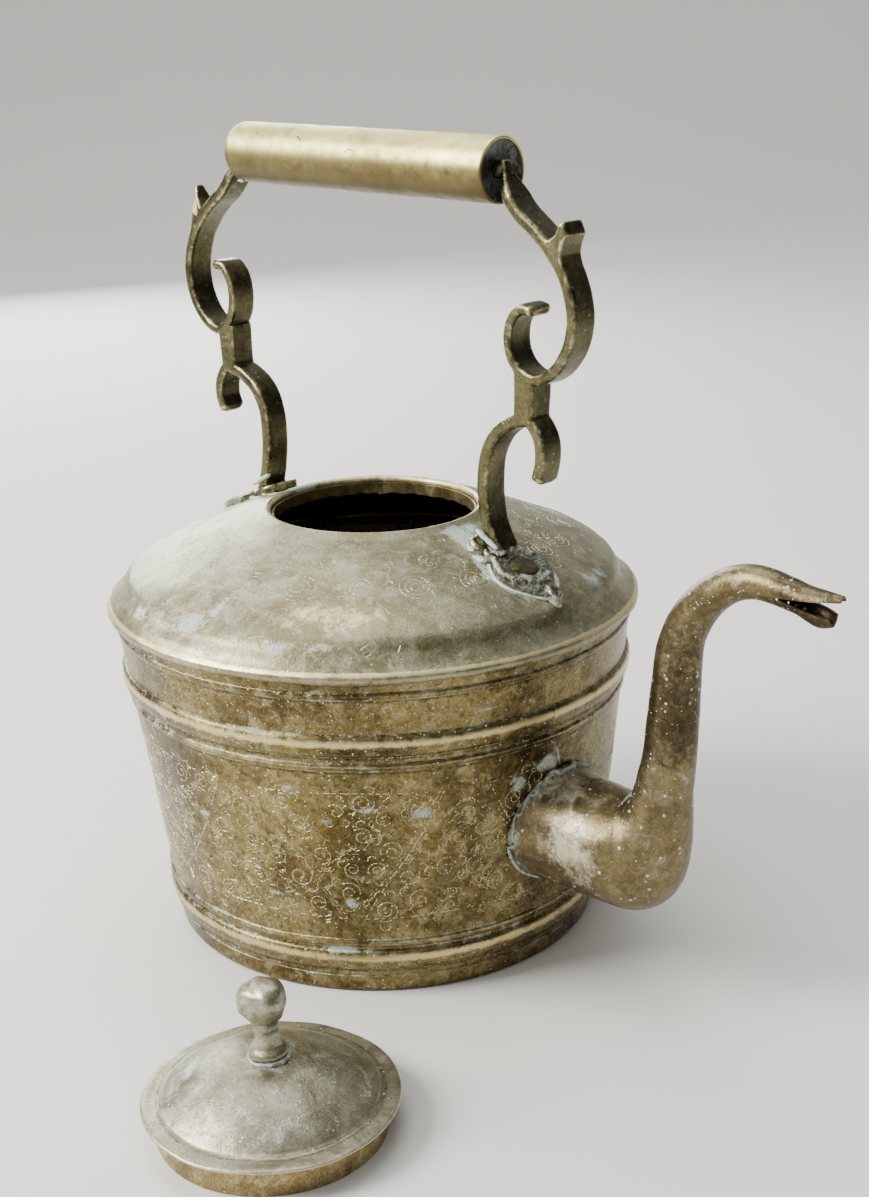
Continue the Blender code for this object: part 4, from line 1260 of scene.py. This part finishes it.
class Chasing:
    """Collects short punched strokes that lie on a surface."""

    def __init__(self, surface, seed):
        self.surface = surface
        self.rng = random.Random(seed)
        self.parts = {"gold": [], "pale": [], "mark": []}

    def dash(self, a, b, width, lift, kind):
        """One stroke from a to b, each a (u, v) in mm on the unrolled surface."""
        along = Vector((b[0] - a[0], b[1] - a[1]))
        if along.length < 0.05:
            return
        along.normalize()
        side = Vector((-along.y, along.x)) * width / 2
        low, high = -0.08, lift
        at = self.surface
        verts = [at(a[0] + side.x, a[1] + side.y, low), at(a[0] - side.x, a[1] - side.y, low),
                 at(b[0] - side.x, b[1] - side.y, low), at(b[0] + side.x, b[1] + side.y, low),
                 at(a[0] + along.x * width / 2, a[1] + along.y * width / 2, high),
                 at(b[0] - along.x * width / 2, b[1] - along.y * width / 2, high)]
        faces = [(0, 1, 2, 3), (0, 3, 5, 4), (1, 4, 5, 2), (0, 4, 1), (3, 2, 5)]
        self.parts[kind].append((verts, faces))

    def stroke(self, points, width=0.46, lift=0.12, mark=1.5, gap=0.42, pale=0.35, skip=0.08):
        """A line of dashes through points."""
        line = spaced(points, 0.25)
        rng = self.rng
        i = rng.randrange(0, 4)
        while i < len(line) - 2:
            size = max(2, int(rng.uniform(0.55, 1.3) * mark / 0.25))
            j = min(i + size, len(line) - 1)
            if rng.random() > skip:
                kind = "pale" if rng.random() < pale else "gold"
                self.dash(line[i], line[j], width * rng.uniform(0.7, 1.2), lift, kind)
            i = j + max(1, int(rng.uniform(0.5, 1.6) * gap / 0.25))

    def spiral(self, x, y, radius, start, turns=1.6, sense=1, **style):
        points = []
        for i in range(44):
            t = i / 43.0
            angle = start + sense * TAU * turns * t
            size = radius * (1.0 - 0.80 * t)
            points.append((x + size * math.cos(angle), y + size * math.sin(angle)))
        self.stroke(points, **style)

    def arc(self, x, y, radius, start, sweep, **style):
        self.stroke([(x + radius * math.cos(start + sweep * i / 12),
                      y + radius * math.sin(start + sweep * i / 12)) for i in range(13)],
                    **style)

    def rosette(self, x, y, radius, **style):
        rng = self.rng
        self.spiral(x, y, radius * 0.72, rng.uniform(0, TAU), rng.uniform(1.2, 1.9),
                    rng.choice((-1, 1)), **style)
        for _ in range(rng.randint(3, 5)):
            turn = rng.uniform(0, TAU)
            self.arc(x + radius * 0.98 * math.cos(turn), y + radius * 0.98 * math.sin(turn),
                     radius * 0.30, turn - 1.9, 3.6, **style)

    def fern(self, x, y, heading, length, **style):
        """A curved stem with short leaves on both sides."""
        rng = self.rng
        bend = rng.uniform(-0.05, 0.05)
        points = [(x, y)]
        while length > 0:
            heading += bend
            x, y = x + math.cos(heading), y + math.sin(heading)
            points.append((x, y))
            length -= 1.0
            if rng.random() < 0.7:
                side = rng.choice((-1, 1))
                lean = heading + side * rng.uniform(0.6, 1.1)
                size = rng.uniform(1.2, 2.6)
                self.dash((x, y), (x + size * math.cos(lean), y + size * math.sin(lean)),
                          0.3, 0.09, rng.choice(("gold", "pale")))
        self.stroke(points, **style)

    def finish(self, name, body, slot):
        for kind, parts in self.parts.items():
            if parts:
                verts, faces = merge(parts)
                piece("%s_%s" % (name, kind), verts, faces, kind, body)


WALL_R, DOME_R = 93.0, 70.0  # where the chased bands are unrolled at true length
COMPARTMENTS = 7
ROSETTES, FERNS = 12, 26
FIRST_APEX = math.radians(-25.4)


def in_triangle(u, v, half, low, high, up):
    t = (v - low) / (high - low)
    if not 0.0 < t < 1.0:
        return False
    room = half * ((1.0 - t) ** 0.8 if up else t ** 0.8)
    return abs(u) < room - 1.2


def make_wall_chasing():
    pitch = TAU * WALL_R / COMPARTMENTS
    work = Chasing(lambda u, v, lift: wall_surface(u / WALL_R, v, lift), 17)
    rng = work.rng
    for k in range(COMPARTMENTS):
        apex = FIRST_APEX * WALL_R - k * pitch
        for up in (True, False):
            centre = apex if up else apex - pitch / 2
            low, high = (33.0, 82.0) if up else (37.0, 86.0)
            half = 0.46 * pitch if up else 0.40 * pitch
            tip, base = (high, low) if up else (low, high)
            for side in (-1, 1):
                if not up and rng.random() < 0.3:
                    continue
                edge = []
                for i in range(25):
                    t = i / 24.0
                    bulge = half * (1.0 - t) ** 0.8 + 1.5 * math.sin(math.pi * t)
                    edge.append((centre + side * bulge, base + (tip - base) * t))
                work.stroke(edge, mark=1.7, gap=0.8, skip=0.22, pale=0.5)
                if side > 0:
                    work.stroke([(u - side * 1.6, v) for u, v in edge], mark=1.3, gap=1.0,
                                skip=0.35, width=0.26, pale=0.6)
            work.stroke([(centre - half, base), (centre, base + 1.0), (centre + half, base)],
                        mark=1.6, gap=1.0, skip=0.3)
            placed, tries = [], 0
            while len(placed) < ROSETTES and tries < 900:
                tries += 1
                u, v = rng.uniform(-half, half), rng.uniform(low + 3, high - 3)
                size = rng.uniform(4.4, 7.4)
                if not in_triangle(abs(u) + size * 0.55, v, half, low, high, up):
                    continue
                if any(math.hypot(u - a, v - b) < 0.86 * (size + s) for a, b, s in placed):
                    continue
                placed.append((u, v, size))
                work.rosette(centre + u, v, size, pale=0.22)
            ferns = tries = 0
            while ferns < FERNS and tries < 500:
                tries += 1
                u, v = rng.uniform(-half, half), rng.uniform(low + 1, high - 1)
                if not in_triangle(u, v, half, low, high, up):
                    continue
                if any(math.hypot(u - a, v - b) < s * 0.9 for a, b, s in placed):
                    continue
                ferns += 1
                work.fern(centre + u, v, rng.uniform(0, TAU), rng.uniform(3.0, 7.0),
                          width=0.28, pale=0.4, mark=1.1)
    work.finish("wall_chasing", KETTLE, "wall")


def make_dome_chasing():
    work = Chasing(lambda u, v, lift: dome_at(u / DOME_R, v, lift), 23)
    rng = work.rng
    style = {"width": 0.42, "lift": 0.12, "pale": 0.8, "mark": 1.7, "gap": 0.4, "skip": 0.08}
    for k in range(22):
        turn = TAU * k / 22 + rng.uniform(-0.04, 0.04)
        work.spiral(turn * DOME_R, 72.0 + rng.uniform(-2, 2), rng.uniform(5.5, 7.5),
                    rng.uniform(0, TAU), 2.6, rng.choice((-1, 1)), **style)
        work.rosette(turn * DOME_R + 9.0, 62.5 + rng.uniform(-1.5, 1.5), rng.uniform(3.0, 4.2),
                     **style)
        for _ in range(5):
            work.arc(turn * DOME_R + rng.uniform(-9, 9), rng.uniform(58.0, 84.0),
                     rng.uniform(2.0, 5.0), rng.uniform(0, TAU), rng.uniform(1.0, 2.6), **style)
    for _ in range(420):
        u, v = rng.uniform(0, TAU * DOME_R), rng.uniform(49.0, 88.0)
        lean = rng.uniform(-0.5, 0.5) + (0.0 if rng.random() < 0.6 else 1.4)
        size = rng.uniform(0.7, 2.4)
        work.dash((u, v), (u + size * math.cos(lean), v + size * math.sin(lean)), 0.22, 0.07,
                  "pale")
    for radius in (50.5, 57.0):
        work.stroke([(TAU * DOME_R * i / 220, radius + 0.5 * math.sin(i * 1.7))
                     for i in range(221)], width=0.2, lift=0.06, mark=1.4, gap=2.2, skip=0.45,
                    pale=0.9)
    for turn, radius, size, lean in ((-63.5, 98.0, 4.4, 0.75), (-61.8, 96.2, 3.0, 0.55),
                                     (-55.3, 98.2, 4.0, 0.8), (-53.6, 97.4, 2.8, 0.6),
                                     (-56.9, 96.0, 2.2, 0.5), (-47.2, 97.2, 3.4, 0.35),
                                     (-46.0, 98.6, 2.2, 0.3), (-39.5, 98.0, 1.8, 0.9),
                                     (-58.6, 97.8, 1.6, 0.2)):
        u = math.radians(turn) * DOME_R
        reach_u, reach_v = size * 0.7 * math.cos(lean), -size * math.sin(lean)
        work.dash((u, radius), (u + reach_u, radius + reach_v), 0.62, 0.05, "mark")
        work.dash((u + 0.5, radius + 0.35), (u + reach_u + 0.5, radius + reach_v + 0.35), 0.35,
                  0.14, "pale")
    work.finish("dome_chasing", KETTLE, "dome")


def make_specks():
    """Small raised crumbs of scale on the wall and the spout."""
    rng = random.Random(31)

    def crumb(point, normal, size, rise):
        side = normal.cross(Vector((0.3, 0.2, 1.0))).normalized()
        up = normal.cross(side)
        count = 6
        verts = [point + side * (size * math.cos(TAU * k / count) * rng.uniform(0.7, 1.2))
                 + up * (size * math.sin(TAU * k / count) * rng.uniform(0.7, 1.2))
                 - normal * 0.08 for k in range(count)]
        verts.append(point + normal * rise)
        faces = [(k, (k + 1) % count, count) for k in range(count)] + [tuple(range(count))]
        return verts, faces

    groups = {"pale": [], "gold": []}
    for _ in range(1500):
        dense = rng.random()
        angle = math.radians(rng.gauss(-75.0, 40.0)) if dense < 0.4 else rng.uniform(0, TAU)
        height = rng.uniform(99.0, 128.0) if dense < 0.5 else rng.uniform(9.0, 98.0)
        p = wall_surface(angle, height)
        normal = Vector((math.cos(angle), math.sin(angle), -0.1)).normalized()
        groups[rng.choice(("pale", "gold", "pale"))].append(
            crumb(p, normal, rng.uniform(0.14, 0.46), rng.uniform(0.08, 0.22)))
    for _ in range(520):
        index = rng.randrange(4, len(SPOUT) - 8)
        turn = rng.uniform(0, TAU)
        p = spout_point(SPOUT[index], turn, 0.0)
        if math.hypot(p.x, p.y) < wall_radius(p.z) + 1.5:
            continue
        normal = (spout_point(SPOUT[index], turn, 0.0, 1.0) - p).normalized()
        groups["pale"].append(crumb(p, normal, rng.uniform(0.15, 0.50), rng.uniform(0.08, 0.22)))
    for kind, parts in groups.items():
        verts, faces = merge(parts)
        piece("crumbs_" + kind, verts, faces, kind, KETTLE)


def make_grip_marks():
    work = Chasing(lambda u, v, lift: grip_frame(u, v / GRIP_R, GRIP_R + 0.02 + lift), 41)
    rng = work.rng
    front = math.radians(118.0) * GRIP_R
    nick = front + 3.0
    for k in range(4):
        work.dash((-28.0 + k * 0.9, nick - 0.5 * k), (-26.4 + k * 0.9, nick - 0.3 - 0.5 * k),
                  0.9 - 0.12 * k, 0.03, "mark")
    dent = [(3.0 + 2.6 * math.cos(t), front - 3.0 + 2.2 * math.sin(t))
            for t in np.linspace(0.4, 2.9, 14)]
    for a, b in zip(dent, dent[1:]):
        work.dash(a, b, 0.42, 0.03, "mark")
    for _ in range(110):
        u, v = rng.uniform(-62.0, 62.0), rng.uniform(0.6, 5.2) * GRIP_R
        lean = rng.choice((0.1, 1.2, 1.7, 2.4)) + rng.uniform(-0.3, 0.3)
        size = rng.uniform(0.5, 2.0)
        work.dash((u, v), (u + size * math.cos(lean), v + size * math.sin(lean)),
                  rng.uniform(0.16, 0.34), 0.015, "mark")
    work.finish("grip_mark", KETTLE, "grip")


# ------------------------------------------------------------- stage, light and camera

LIT_FROM = (-0.50, -0.45, 0.74)
COVE_START, COVE_R, COVE_TOP = 1.5, 2.4, 3.4
FLOOR_END = 60.0


def make_stage():
    mesh = bpy.data.meshes.new("floor")
    away, across = Vector((-0.707, 0.707, 0.0)), Vector((0.707, 0.707, 0.0))
    profile = [(-FLOOR_END, 0.0), (COVE_START, 0.0)]
    profile += [(COVE_START + COVE_R * math.sin(math.radians(t)),
                 COVE_R * (1.0 - math.cos(math.radians(t)))) for t in range(6, 91, 6)]
    profile.append((COVE_START + COVE_R, COVE_TOP))
    verts = [tuple(away * run + across * side + Vector((0.0, 0.0, rise)))
             for run, rise in profile for side in (-FLOOR_END, FLOOR_END)]
    faces = [(2 * i, 2 * i + 1, 2 * i + 3, 2 * i + 2) for i in range(len(profile) - 1)]
    mesh.from_pydata(verts, [], faces)
    mesh.shade_smooth()
    floor = linked("floor", mesh)
    floor.location.z = -0.0002
    g = Graph("floor_paint")
    drift = g.noise(3.0, 3.0, 0.5)
    g.put(g.shader.inputs["Base Color"], g.mix(drift, (0.78, 0.76, 0.71), (0.82, 0.80, 0.75)))
    g.shader.inputs["Roughness"].default_value = 0.85
    g.shader.inputs["Specular IOR Level"].default_value = 0.2
    mesh.materials.append(g.material)

    world = bpy.data.worlds.new("studio")
    bpy.context.scene.world = world
    world.use_nodes = True
    tree = world.node_tree
    sky = tree.nodes["Background"]
    where = tree.nodes.new("ShaderNodeTexCoord")
    lit_side = tree.nodes.new("ShaderNodeVectorMath")
    lit_side.operation = "DOT_PRODUCT"
    lit_side.inputs[1].default_value = LIT_FROM
    ramp = tree.nodes.new("ShaderNodeValToRGB")
    half = tree.nodes.new("ShaderNodeMath")
    half.operation = "MULTIPLY_ADD"
    half.inputs[1].default_value = half.inputs[2].default_value = 0.5
    tree.links.new(where.outputs["Generated"], lit_side.inputs[0])
    tree.links.new(lit_side.outputs["Value"], half.inputs[0])
    tree.links.new(half.outputs[0], ramp.inputs[0])
    tree.links.new(ramp.outputs[0], sky.inputs["Color"])
    for stop, (place, tone) in zip(ramp.color_ramp.elements, ((0.38, 0.05), (0.86, 1.0))):
        stop.position = place
        stop.color = (tone, tone, tone * 1.02, 1)
    sky.inputs["Strength"].default_value = 0.85


def add_light(name, place, target, size, power, colour):
    data = bpy.data.lights.new(name, "AREA")
    data.shape = "DISK"
    data.size = size
    data.energy = power
    data.color = colour
    lamp = linked(name, data)
    lamp.location = place
    aim = Vector(target) - Vector(place)
    lamp.rotation_euler = aim.to_track_quat("-Z", "Y").to_euler()


def make_lights():
    add_light("key", (-0.75, -1.15, 1.05), (0.0, -0.03, 0.12), 0.9, 52.0, (1.0, 0.99, 0.96))
    add_light("top", (-0.35, 0.1, 1.7), (0.0, 0.0, 0.1), 1.2, 14.0, (0.97, 0.99, 1.0))
    add_light("side", (-1.4, 0.70, 0.62), (0.0, -0.03, 0.13), 1.0, 22.0, (0.97, 1.0, 0.97))


def make_camera():
    data = bpy.data.cameras.new("camera")
    data.lens = 52.70
    data.sensor_width = 36.0
    camera = linked("camera", data)
    camera.location = (0.48291763, -0.45987624, 0.3498705)
    camera.rotation_euler = [math.radians(a) for a in (71.511336, 1.315018, 43.995093)]
    bpy.context.scene.camera = camera


def dress_inner_nodes():
    """Carried-over washers keep their CAD shape and get the tarnished inside finish."""
    for node in ("foot_rove_front", "foot_rove_rear", "lid_rove"):
        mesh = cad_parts[node].data
        mesh.materials.clear()
        mesh.materials.append(MATERIALS["inside"])


make_wall()
make_pan()
make_dome()
make_spout()
make_arms()
make_grip()
make_rivets()
make_lid()
make_solder()
make_wall_chasing()
make_dome_chasing()
make_specks()
make_grip_marks()
dress_inner_nodes()
make_stage()
make_lights()
make_camera()
